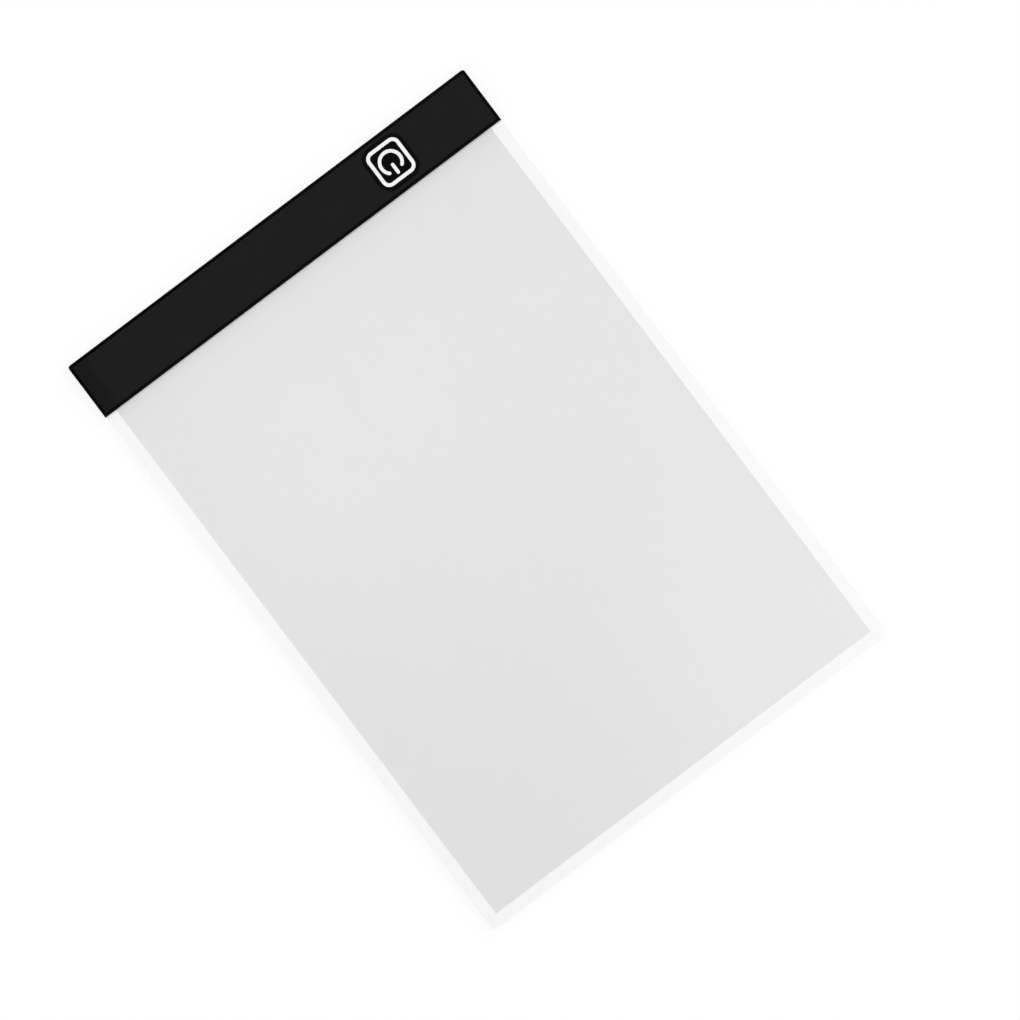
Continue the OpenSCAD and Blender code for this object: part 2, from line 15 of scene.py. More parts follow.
import bmesh
import bpy
from bpy.types import Material, Node, NodeSocket, NodeTree, Object
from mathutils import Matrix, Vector

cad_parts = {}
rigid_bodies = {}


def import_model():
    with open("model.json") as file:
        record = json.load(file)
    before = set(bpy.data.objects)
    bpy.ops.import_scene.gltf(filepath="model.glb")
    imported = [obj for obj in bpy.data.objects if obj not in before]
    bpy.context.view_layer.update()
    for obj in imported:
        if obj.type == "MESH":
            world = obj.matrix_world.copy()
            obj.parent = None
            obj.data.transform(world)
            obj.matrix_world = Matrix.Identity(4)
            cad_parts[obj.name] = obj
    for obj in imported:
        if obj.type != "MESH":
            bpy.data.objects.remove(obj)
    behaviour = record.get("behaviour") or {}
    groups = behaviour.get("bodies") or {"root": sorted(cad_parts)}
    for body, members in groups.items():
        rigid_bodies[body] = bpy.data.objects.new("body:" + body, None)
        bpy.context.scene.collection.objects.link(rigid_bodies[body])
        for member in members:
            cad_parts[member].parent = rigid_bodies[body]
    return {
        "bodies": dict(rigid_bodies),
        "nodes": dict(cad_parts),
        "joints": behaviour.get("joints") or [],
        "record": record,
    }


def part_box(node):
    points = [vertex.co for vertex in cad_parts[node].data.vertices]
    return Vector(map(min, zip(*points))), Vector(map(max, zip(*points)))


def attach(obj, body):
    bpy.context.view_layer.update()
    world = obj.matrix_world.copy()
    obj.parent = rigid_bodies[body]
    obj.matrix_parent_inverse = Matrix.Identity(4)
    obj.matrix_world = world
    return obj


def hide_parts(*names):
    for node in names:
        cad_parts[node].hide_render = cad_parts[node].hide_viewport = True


LOG = logging.getLogger("light_pad")
MM = 0.001
# Points that lie closer together than this, in metres, are one point.
JOIN = 2e-6
# Faces that meet at less than the first angle are one flat face, and at more than the second, a crisp edge.
FLAT = math.radians(0.2)
SHARP = math.radians(38)
# Upright share of a level face's normal.
LEVEL = 0.99
# How far an outer edge may lie from its piece's box, in millimetres.
EDGE_REACH = 0.05
# Range that most of a noise texture's values lie in.
MOST_NOISE = (0.3, 0.7)
# Vertex layer that marks worn edges.
WEAR = "edge_wear"
FLOAT = "NodeSocketFloat"
VECTOR = "NodeSocketVector"
WHITE = (1.0, 1.0, 1.0, 1.0)

Colour = tuple[float, float, float]
Pair = tuple[float, float]
Triple = tuple[float, float, float]
Feeds = Mapping[str | int, Any]


class Body(Enum):
    """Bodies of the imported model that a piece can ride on."""

    PAD = "pad"
    KEY = "key"


class Side(Enum):
    """Sides of a box, each as the number of its axis and whether it is the high one."""

    LEFT = (0, False)
    RIGHT = (0, True)
    FAR = (1, False)
    BAR = (1, True)
    UNDER = (2, False)
    TOP = (2, True)


def times(colour: Colour, share: float) -> Colour:
    """Make a colour darker or brighter, up to full brightness."""
    return tuple(min(share * c, 1.0) for c in colour)


def show(name: str, data: Any) -> Object:
    """Make an object of a mesh, lamp or camera and put it into the scene."""
    made = bpy.data.objects.new(name, data)
    bpy.context.scene.collection.objects.link(made)
    return made


class NodeBench:
    """Adds and links the nodes of one tree."""

    def __init__(self, tree: NodeTree) -> None:
        """Keep the tree that the nodes go into."""
        self.tree = tree

    def add(self, kind: str, feeds: Feeds | None = None, **settings: Any) -> Node:
        """Add a node, set it and feed its inputs.

        Args:
            kind: type name of the node.
            feeds: what goes into its inputs.
            settings: properties of the node.

        Returns:
            The new node.
        """
        node = self.tree.nodes.new(kind)
        for key, value in settings.items():
            setattr(node, key, value)
        self.feed(node, feeds or {})
        return node

    def feed(self, node: Node, feeds: Feeds) -> None:
        """Feed a node's inputs.

        Args:
            node: the node.
            feeds: for each input, by name or number, a plain value or the socket that is linked to it.
        """
        for key, value in feeds.items():
            if isinstance(value, NodeSocket):
                self.tree.links.new(value, node.inputs[key])
            else:
                node.inputs[key].default_value = value

    def noise(self, where: NodeSocket, scale: Any, detail: float, rough: float) -> NodeSocket:
        """Add a noise texture of some repeats per metre and octaves, and give its value from 0 to 1."""
        feeds = {"Vector": where, "Scale": scale, "Detail": detail, "Roughness": rough}
        return self.add("ShaderNodeTexNoise", feeds).outputs["Fac"]

    def maths(self, operation: str, a: Any, b: Any = 0.0) -> NodeSocket:
        """Add a maths node and give its result."""
        return self.add("ShaderNodeMath", {0: a, 1: b}, operation=operation).outputs[0]

    def vectors(self, operation: str, a: Any, b: Any) -> NodeSocket:
        """Add a vector maths node and give the vector that it puts out."""
        return self.add("ShaderNodeVectorMath", {0: a, 1: b}, operation=operation).outputs["Vector"]

    def spread(self, value: NodeSocket, source: Pair, target: Pair) -> NodeSocket:
        """Map a value from one range, at whose ends it is held, to another."""
        feeds = zip(("Value", "From Min", "From Max", "To Min", "To Max"), (value, *source, *target))
        return self.add("ShaderNodeMapRange", dict(feeds)).outputs["Result"]

    def tint(self, share: Any, first: Any, second: Any) -> NodeSocket:
        """Mix two colours, or the sockets that give them, with a share of the second one."""
        first, second = ((*c, 1.0) if isinstance(c, tuple) else c for c in (first, second))
        # The node's colour sockets come after those for numbers and vectors.
        return self.add("ShaderNodeMix", {0: share, 6: first, 7: second}, data_type="RGBA").outputs[2]

    def blend(self, share: Any, first: NodeSocket, second: NodeSocket) -> NodeSocket:
        """Mix two shaders, with a share of the second one."""
        return self.add("ShaderNodeMixShader", {0: share, 1: first, 2: second}).outputs[0]

    def place(self) -> NodeSocket:
        """Give the piece's own coordinates, in metres."""
        return self.add("ShaderNodeTexCoord").outputs["Object"]


class Effects:
    """Shader node groups that several finishes share, each built once."""

    # Repeats of the speckle against those of the fine grain.
    SPECKLE = 0.41
    # Share of the wear that the noise leaves where it leaves least, and most.
    WORN = (0.25, 1.0)

    def __init__(self) -> None:
        """Build the groups."""
        self.grain = self._grain()
        self.edge_wear = self._edge_wear()
        self.scuffs = self._scuffs()
        self.soft_patch = self._soft_patch()

    @staticmethod
    def _start(name: str, takes: Mapping[str, str]) -> tuple[NodeBench, Mapping[str, NodeSocket]]:
        """Start a group.

        Args:
            name: the group's name.
            takes: socket type of each input, by name.

        Returns:
            The bench of the group's tree, and the sockets that bring its inputs.
        """
        bench = NodeBench(bpy.data.node_groups.new(name, "ShaderNodeTree"))
        for label, kind in takes.items():
            bench.tree.interface.new_socket(name=label, in_out="INPUT", socket_type=kind)
        return bench, bench.add("NodeGroupInput").outputs

    @staticmethod
    def _close(bench: NodeBench, gives: Mapping[str, NodeSocket]) -> NodeTree:
        """Close a group.

        Args:
            bench: bench of the group's tree.
            gives: the values that the group puts out, by name.

        Returns:
            The group's tree.
        """
        for label in gives:
            bench.tree.interface.new_socket(name=label, in_out="OUTPUT", socket_type=FLOAT)
        bench.add("NodeGroupOutput", gives)
        return bench.tree

    def _grain(self) -> NodeTree:
        """Build the grain of a moulded or rolled skin: fine height, speckle of gloss, broad drift of tone."""
        bench, given = self._start("skin_grain", {"Fine": FLOAT, "Broad": FLOAT})
        where = bench.place()
        coarse = bench.maths("MULTIPLY", given["Fine"], self.SPECKLE)
        return self._close(bench, {
            "Height": bench.noise(where, given["Fine"], detail=3.0, rough=0.55),
            "Speckle": bench.noise(where, coarse, detail=2.0, rough=0.6),
            "Drift": bench.noise(where, given["Broad"], detail=2.0, rough=0.5),
        })

    def _edge_wear(self) -> NodeTree:
        """Build the mask of rubbed edges: the mark that softened edges carry, broken up by noise."""
        bench, given = self._start("rubbed_edges", {"Break-up": FLOAT})
        mark = bench.add("ShaderNodeAttribute", attribute_name=WEAR).outputs["Fac"]
        breaks = bench.noise(bench.place(), given["Break-up"], detail=3.0, rough=0.6)
        share = bench.spread(breaks, MOST_NOISE, self.WORN)
        return self._close(bench, {"Mask": bench.maths("MULTIPLY", mark, share)})

    def _scuffs(self) -> NodeTree:
        """Build fine scuffs that are drawn out along one direction."""
        bench, given = self._start("fine_scuffs", {"Stretch": VECTOR})
        drawn = bench.vectors("MULTIPLY", bench.place(), given["Stretch"])
        return self._close(bench, {"Scuff": bench.noise(drawn, 1.0, detail=4.0, rough=0.65)})

    def _soft_patch(self) -> NodeTree:
        """Build the mask of a soft patch about one place: 1 in its core, and 0 where its reach ends."""
        bench, given = self._start("soft_patch", {"Centre": VECTOR, "Stretch": VECTOR, "Core": FLOAT})
        away = bench.vectors("SUBTRACT", bench.place(), given["Centre"])
        drawn = bench.vectors("MULTIPLY", away, given["Stretch"])
        length = bench.add("ShaderNodeVectorMath", {0: drawn}, operation="LENGTH").outputs["Value"]
        feeds = {"Value": length, "From Min": 1.0, "From Max": given["Core"]}
        ramp = bench.add("ShaderNodeMapRange", feeds, interpolation_type="SMOOTHSTEP")
        return self._close(bench, {"Mask": ramp.outputs["Result"]})


@dataclass(frozen=True)
class Patch:
    """A soft patch of another tone about one place of a node.

    Attributes:
        node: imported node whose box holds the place.
        at: the place, from 0 at the box's lowest corner to 1 at its highest, along each axis.
        reach: how far the patch goes along each axis, in millimetres, or 0 along an axis that doesn't count.
        share: brightness in the patch's core.
        core: share of the reach that the core takes up.
    """

    node: str
    at: Triple
    reach: Triple
    share: float
    core: float = 0.0


class FinishBench(NodeBench):
    """Bench of one finish, with its Principled shader and the shared effects at hand."""

    def __init__(self, material: Material, effects: Effects) -> None:
        """Keep the material's tree and shader, and the effects."""
        super().__init__(material.node_tree)
        self.effects = effects
        self.shader = self.find("BSDF_PRINCIPLED")

    def find(self, kind: str) -> Node:
        """Give the tree's first node of a kind."""
        return next(n for n in self.tree.nodes if n.type == kind)

    def effect(self, tree: NodeTree, feeds: Feeds) -> Mapping[str, NodeSocket]:
        """Place a shared effect and give its outputs."""
        return self.add("ShaderNodeGroup", feeds, node_tree=tree).outputs

    def grain(self, fine: float, broad: float) -> Mapping[str, NodeSocket]:
        """Place the shared grain and give its outputs."""
        return self.effect(self.effects.grain, {"Fine": fine, "Broad": broad})

    def wear(self, breakup: float) -> NodeSocket:
        """Place the shared edge wear and give its mask."""
        return self.effect(self.effects.edge_wear, {"Break-up": breakup})["Mask"]

    def scuffs(self, stretch: Triple) -> NodeSocket:
        """Place the shared scuffs and give their mask."""
        return self.effect(self.effects.scuffs, {"Stretch": stretch})["Scuff"]

    def gloss(self, noise: NodeSocket, rough: Pair) -> NodeSocket:
        """Let a noise vary the roughness within a range."""
        return self.spread(noise, MOST_NOISE, rough)

    def drifting(self, drift: NodeSocket, colour: Colour, share: float,
                 patches: Sequence[Patch]) -> NodeSocket:
        """Give a colour that drifts in brightness, with soft patches over it.

        Args:
            drift: socket with a broad noise.
            colour: colour that the tone varies round.
            share: how far it drifts to either side.
            patches: the patches, from the lowest to the topmost.

        Returns:
            Output with the tone.
        """
        tone = self.tint(drift, times(colour, 1.0 - share), times(colour, 1.0 + share))
        for patch in patches:
            low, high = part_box(patch.node)
            feeds = {
                "Centre": [a + at * (b - a) for a, b, at in zip(low, high, patch.at)],
                "Stretch": [1.0 / (r * MM) if r else 0.0 for r in patch.reach],
                "Core": patch.core,
            }
            mask = self.effect(self.effects.soft_patch, feeds)["Mask"]
            tone = self.tint(mask, tone, times(colour, patch.share))
        return tone

    def dress(self, feeds: Feeds, height: NodeSocket, depth: float, bump: float) -> None:
        """Feed the shader, and give it a bump of some depth, in millimetres, and some strength."""
        relief = self.add("ShaderNodeBump", {"Height": height, "Distance": depth * MM, "Strength": bump})
        self.feed(self.shader, {**feeds, "Normal": relief.outputs["Normal"]})


@dataclass(frozen=True)
class Finish:
    """A surface finish that builds its own node material.

    In all finishes, fine, broad and breakup are the repeats per metre of the grain, of the drift of tone and
    of the wear, depth and bump are the relief's depth in millimetres and its strength, and rough is the range
    of roughness.

    Attributes:
        slot: the record's material slot that the finish belongs to.
        name: name of the material.
    """

    slot: str
    name: str

    def build(self, effects: Effects) -> Material:
        """Build the material.

        Args:
            effects: the shared shader groups.

        Returns:
            The finished material.
        """
        material = bpy.data.materials.new(self.name)
        material.use_nodes = True
        self.coat(FinishBench(material, effects))
        return material

    def coat(self, bench: FinishBench) -> None:
        """Add the finish's nodes to its bench."""
        raise NotImplementedError


@dataclass(frozen=True)
class Moulding(Finish):
    """Moulded plastic or rubber with a fine spark-eroded skin and slightly rubbed edges.

    Attributes:
        worn: colour of rubbed edges.
        drift: how far the tone drifts to either side.
        rub: how much smoother a rubbed edge is.
    """

    colour: Colour
    worn: Colour
    rough: Pair
    fine: float = 2600.0
    depth: float = 0.02
    specular: float = 0.5
    patches: tuple[Patch, ...] = ()
    drift: float = 0.1
    broad: float = 60.0
    rub: float = 0.12
    breakup: float = 700.0
    bump: float = 0.6

    def coat(self, bench: FinishBench) -> None:
        """Lay a drifting skin with rubbed edges on a fine relief."""
        grain = bench.grain(self.fine, self.broad)
        wear = bench.wear(self.breakup)
        skin = bench.drifting(grain["Drift"], self.colour, self.drift, self.patches)
        gloss = bench.gloss(grain["Speckle"], self.rough)
        feeds = {
            "Base Color": bench.tint(wear, skin, self.worn),
            "Roughness": bench.maths("SUBTRACT", gloss, bench.maths("MULTIPLY", wear, self.rub)),
            "Specular IOR Level": self.specular,
        }
        bench.dress(feeds, grain["Height"], self.depth, self.bump)


@dataclass(frozen=True)
class Film(Finish):
    """Pale sheet, film or tape with a faint drift of tone and a fine rolled skin.

    Attributes:
        drift: how far the tone drifts to either side.
        flecks: range of the grain that shows as flecks, and fleck, the tone and the most share of them.
        rub: tone and share of rubbed edges.
    """

    colour: Colour
    drift: float
    rough: Pair
    fine: float = 1500.0
    depth: float = 0.01
    specular: float = 0.3
    patches: tuple[Patch, ...] = ()
    broad: float = 14.0
    flecks: Pair = (0.35, 0.75)
    fleck: Pair = (0.86, 0.04)
    rub: Pair = (0.8, 0.25)
    breakup: float = 400.0
    bump: float = 0.5

    def coat(self, bench: FinishBench) -> None:
        """Lay a drifting, flecked tone with rubbed edges on a fine relief."""
        grain = bench.grain(self.fine, self.broad)
        tone = bench.drifting(grain["Drift"], self.colour, self.drift, self.patches)
        flecks = bench.spread(grain["Height"], self.flecks, (0.0, self.fleck[1]))
        tone = bench.tint(flecks, tone, times(self.colour, self.fleck[0]))
        rubbed = bench.maths("MULTIPLY", bench.wear(self.breakup), self.rub[1])
        feeds = {
            "Base Color": bench.tint(rubbed, tone, times(self.colour, self.rub[0])),
            "Roughness": bench.gloss(grain["Speckle"], self.rough),
            "Specular IOR Level": self.specular,
        }
        bench.dress(feeds, grain["Height"], self.depth, self.bump)


@dataclass(frozen=True)
class ClearSheet(Finish):
    """Clear acrylic: what is behind it shows, and a soft sheen lies on its outer faces.

    Attributes:
        clear: tint of what shows through.
        haze: share of the surface that is milky rather than clear.
        milk: colour of that share, which drifts down to drift times itself.
        stretch: repeats of the scuffs per metre along each axis.
        scuffs: range of that noise that shows, and scuff, how much rougher it is there.
        ior: index of refraction.
    """

    clear: Colour
    rough: Pair
    haze: float
    milk: Colour
    drift: float = 0.97
    broad: float = 10.0
    fine: float = 1100.0
    depth: float = 0.004
    bump: float = 0.4
    stretch: Triple = (22.0, 5000.0, 400.0)
    scuffs: Pair = (0.6, 0.85)
    scuff: float = 0.02
    ior: float = 1.47

    def coat(self, bench: FinishBench) -> None:
        """Lay clear and milky shares under a sheen that grows towards grazing angles."""
        grain = bench.grain(self.fine, self.broad)
        scuffs = bench.spread(bench.scuffs(self.stretch), self.scuffs, (0.0, self.scuff))
        polish = bench.maths("ADD", bench.gloss(grain["Speckle"], self.rough), scuffs)
        soft = bench.tint(grain["Drift"], times(self.milk, self.drift), self.milk)
        bench.dress({"Base Color": soft, "Roughness": polish}, grain["Height"], self.depth, self.bump)
        clear = bench.add("ShaderNodeBsdfTransparent", {"Color": (*self.clear, 1.0)})
        body = bench.blend(self.haze, clear.outputs[0], bench.shader.outputs[0])
        sheen = bench.add("ShaderNodeBsdfAnisotropic", {"Roughness": polish}, distribution="GGX")
        fresnel = bench.add("ShaderNodeFresnel", {"IOR": self.ior}).outputs[0]
        back = bench.add("ShaderNodeNewGeometry").outputs["Backfacing"]
        share = bench.maths("MULTIPLY", fresnel, bench.maths("SUBTRACT", 1.0, back))
        bench.feed(bench.find("OUTPUT_MATERIAL"), {"Surface": bench.blend(share, body, sheen.outputs[0])})


@dataclass(frozen=True)
class Metal(Finish):
    """Plated or rolled metal with scuffs along its drawing direction.

    Attributes:
        stretch: repeats of the scuffs per metre along each axis.
        dull: tone of tarnish, and bright, of rubbed edges.
    """

    colour: Colour
    rough: Pair
    stretch: Triple
    depth: float = 0.004
    dull: float = 0.82
    bright: float = 1.18
    fine: float = 3000.0
    broad: float = 300.0
    breakup: float = 900.0
    bump: float = 0.4

    def coat(self, bench: FinishBench) -> None:
        """Lay plating with rubbed edges on the relief of the scuffs."""
        scuffs = bench.scuffs(self.stretch)
        drift = bench.grain(self.fine, self.broad)["Drift"]
        plated = bench.tint(drift, times(self.colour, self.dull), self.colour)
        feeds = {
            "Base Color": bench.tint(bench.wear(self.breakup), plated, times(self.colour, self.bright)),
            "Roughness": bench.gloss(scuffs, self.rough),
            "Metallic": 1.0,
        }
        bench.dress(feeds, scuffs, self.depth, self.bump)


@dataclass(frozen=True)
class SolderMask(Finish):
    """Printed board: solder mask over raised copper lanes.

    Attributes:
        lane: colour of the mask over copper.
        pitch: width of a lane, in millimetres, with gap, length and stagger of the lanes as shares of it.
        cloud: range of the drift that shows as clouds, their tone and the most share of them.
    """

    colour: Colour
    lane: Colour
    pitch: float
    gap: float = 0.25
    length: float = 9.0
    stagger: float = 0.37
    cloud: tuple[Pair, float, float] = ((0.3, 0.8), 0.7, 0.3)
    rough: Pair = (0.25, 0.4)
    fine: float = 1800.0
    broad: float = 80.0
    depth: float = 0.03
    bump: float = 0.5

    def coat(self, bench: FinishBench) -> None:
        """Lay staggered lanes of copper under a cloudy mask."""
        grain = bench.grain(self.fine, self.broad)
        pitch = self.pitch * MM
        feeds = {"Vector": bench.place(), "Scale": 1.0, "Mortar Size": self.gap * pitch}
        feeds |= {"Brick Width": self.length * pitch, "Row Height": pitch}
        lanes = bench.add("ShaderNodeTexBrick", feeds, offset=self.stagger).outputs["Fac"]
        shown, tone, most = self.cloud
        cloudy = bench.spread(grain["Drift"], shown, (0.0, most))
        mask = bench.tint(lanes, self.colour, self.lane)
        feeds = {
            "Base Color": bench.tint(cloudy, mask, times(self.colour, tone)),
            "Roughness": bench.gloss(grain["Speckle"], self.rough),
        }
        bench.dress(feeds, lanes, self.depth, self.bump)


@dataclass(frozen=True)
class CappedCeramic(Finish):
    """Small ceramic parts with tinned ends, told apart by their place across the board.

    Attributes:
        tin: colour of the ends.
        middle: where the parts' middle lies along Y, and half_body, where their ends begin from there.
        drift: tone that the ceramic drifts down to.
    """

    colour: Colour
    tin: Colour
    middle: float
    half_body: float
    drift: float = 0.8
    rough: Pair = (0.3, 0.5)
    fine: float = 2500.0
    broad: float = 500.0
    depth: float = 0.01
    bump: float = 0.4

    def coat(self, bench: FinishBench) -> None:
        """Lay ceramic in the middle and tin beyond half_body from it."""
        grain = bench.grain(self.fine, self.broad)
        across = bench.add("ShaderNodeSeparateXYZ", {0: bench.place()}).outputs["Y"]
        away = bench.maths("ABSOLUTE", bench.maths("SUBTRACT", across, self.middle * MM))
        cap = bench.maths("GREATER_THAN", away, self.half_body * MM)
        clay = bench.tint(grain["Drift"], times(self.colour, self.drift), self.colour)
        feeds = {
            "Base Color": bench.tint(cap, clay, self.tin),
            "Metallic": cap,
            "Roughness": bench.gloss(grain["Speckle"], self.rough),
        }
        bench.dress(feeds, grain["Height"], self.depth, self.bump)


# The shell turns darker towards the bar's left end.
DARK_BAR_END = Patch("bar_front_cover", (0.0, 0.5, 0.5), (10.5, 0.0, 0.0), 0.4, 0.68)
SHADE_BY_BAR = Patch("diffuser_film", (0.5, 1.0, 1.0), (0.0, 17.0, 0.0), 0.945)
SHADE_AT_BAR = Patch("diffuser_film", (0.5, 1.0, 1.0), (0.0, 7.0, 0.0), 0.9)
# Painted shade towards the diffuser's far left corner, and painted light towards its far right corner.
PAINTED_SHADE_CORNER = Patch("diffuser_film", (0.0, 0.0, 1.0), (250.0, 563.0, 0.0), 0.969)
PAINTED_LIGHT_CORNER = Patch("diffuser_film", (1.0, 0.0, 1.0), (171.0, 148.0, 0.0), 1.0266)
RESIN = (0.009, 0.009, 0.01)
JET = (0.01, 0.01, 0.011)
FINISHES: tuple[Finish, ...] = (
    Moulding("black_shell", "fine_textured_black", (0.0045,) * 3, (0.016,) * 3, (0.48, 0.6), 5200.0, 0.03,
             0.13, (DARK_BAR_END,)),
    Moulding("black_key", "satin_black_key", (0.0012,) * 3, (0.008,) * 3, (0.3, 0.4), 5200.0, 0.01, 0.05),
    Moulding("foot", "soft_black_rubber", (0.012, 0.012, 0.013), (0.03,) * 3, (0.72, 0.9), 1400.0, 0.04, 0.3),
    Moulding("chip", "moulded_black_resin", RESIN, (0.02,) * 3, (0.55, 0.75), 2200.0),
    Moulding("plunger", "plunger_black", RESIN, (0.02,) * 3, (0.35, 0.5)),
    Moulding("socket_black", "tongue_black", JET, (0.03,) * 3, (0.4, 0.55)),
    Moulding("lead_red", "red_lead_skin", (0.45, 0.014, 0.011), (0.5, 0.05, 0.04), (0.28, 0.42), 900.0),
    Moulding("lead_black", "black_lead_skin", JET, (0.03,) * 3, (0.28, 0.42), 900.0),
    Moulding("led", "cream_package", (0.85, 0.83, 0.76), (0.9,) * 3, (0.3, 0.45), 1800.0),
    Film("seal", "black_seal_tape", (0.01,) * 3, 0.1, (0.7, 0.85)),
    Film("tape", "white_border_tape", (0.97,) * 3, 0.006, (0.5, 0.65), depth=0.004),
    Film("reflector", "white_reflector", (0.94,) * 3, 0.01, (0.45, 0.6)),
    Film("diffuser", "frosted_diffuser_painted_light_and_shade", (0.808,) * 3, 0.006, (0.55, 0.7), 2400.0, 0.004,
         patches=(PAINTED_SHADE_CORNER, PAINTED_LIGHT_CORNER, SHADE_BY_BAR, SHADE_AT_BAR)),
    Film("back_plate", "matte_white_plate", (0.83,) * 3, 0.012, (0.5, 0.68), 1100.0, 0.02),
    Film("led_board", "white_strip_mask", (0.88,) * 3, 0.02, (0.35, 0.5)),
    ClearSheet("front_panel", "clear_front_sheet", (1.0,) * 3, (0.25, 0.26), 0.02, (0.9,) * 3),
    ClearSheet("light_guide", "polished_guide", (0.93, 0.96, 0.96), (0.06, 0.14), 0.45, (0.82, 0.87, 0.87)),
    Metal("socket_metal", "plated_socket", (0.62, 0.62, 0.63), (0.18, 0.36), (300.0, 4000.0, 4000.0)),
    Metal("switch_metal", "pressed_switch_can", (0.6, 0.6, 0.61), (0.25, 0.45), (400.0, 3000.0, 3000.0)),
    Metal("screw", "zinc_screw", (0.46, 0.47, 0.49), (0.24, 0.44), (2500.0, 2500.0, 900.0)),
    Metal("contact", "gold_contact", (0.75, 0.52, 0.18), (0.15, 0.3), (500.0, 4000.0, 4000.0)),
    SolderMask("board", "green_board", (0.012, 0.09, 0.035), (0.03, 0.19, 0.075), 1.1),
    CappedCeramic("passive", "capped_ceramic", (0.3, 0.2, 0.1), (0.6, 0.6, 0.58), 154.5, 0.5),
)
INK = Film("black_key", "white_sign_ink", (0.9,) * 3, 0.01, (0.4, 0.55), 2600.0)
PHOSPHOR = Moulding("led", "yellow_phosphor", (0.82, 0.62, 0.08), (0.85, 0.7, 0.2), (0.35, 0.5), 1500.0)
# Finish of the frame round the bar's top: smoother than the shell, and darker as painted shade along the
# bar's edges.
PAINTED_SHADE_RIM = Moulding("black_shell", "smooth_rim_painted_shade", (0.0008,) * 3, (0.004,) * 3, (0.3, 0.4), 5200.0, 0.01, 0.03)


def arc(centre: Pair, radius: float, first: float, last: float, steps: int) -> list[Pair]:
    """Give the points of an arc from one angle to another, in degrees, both ends included."""
    angles = [math.radians(first + (last - first) * i / steps) for i in range(steps + 1)]
    return [(centre[0] + radius * math.cos(a), centre[1] + radius * math.sin(a)) for a in angles]


def round_plan(centre: Pair, size: Pair, radius: float, steps: int) -> list[Pair]:
    """Give the outline of a rectangle with round corners.

    Args:
        centre: centre of the rectangle.
        size: its sizes along X and Y.
        radius: corner radius.
        steps: segments in each corner.

    Returns:
        The points, anticlockwise.
    """
    points: list[Pair] = []
    x, y = size[0] / 2 - radius, size[1] / 2 - radius
    for turn, (a, b) in enumerate(((x, y), (-x, y), (-x, -y), (x, -y))):
        points += arc((centre[0] + a, centre[1] + b), radius, 90.0 * turn, 90.0 * turn + 90.0, steps)
    return points


def round_steps(count: int) -> list[tuple[int, int]]:
    """Give the numbers of each point of a closed loop and of the one after it."""
    return [(i, (i + 1) % count) for i in range(count)]


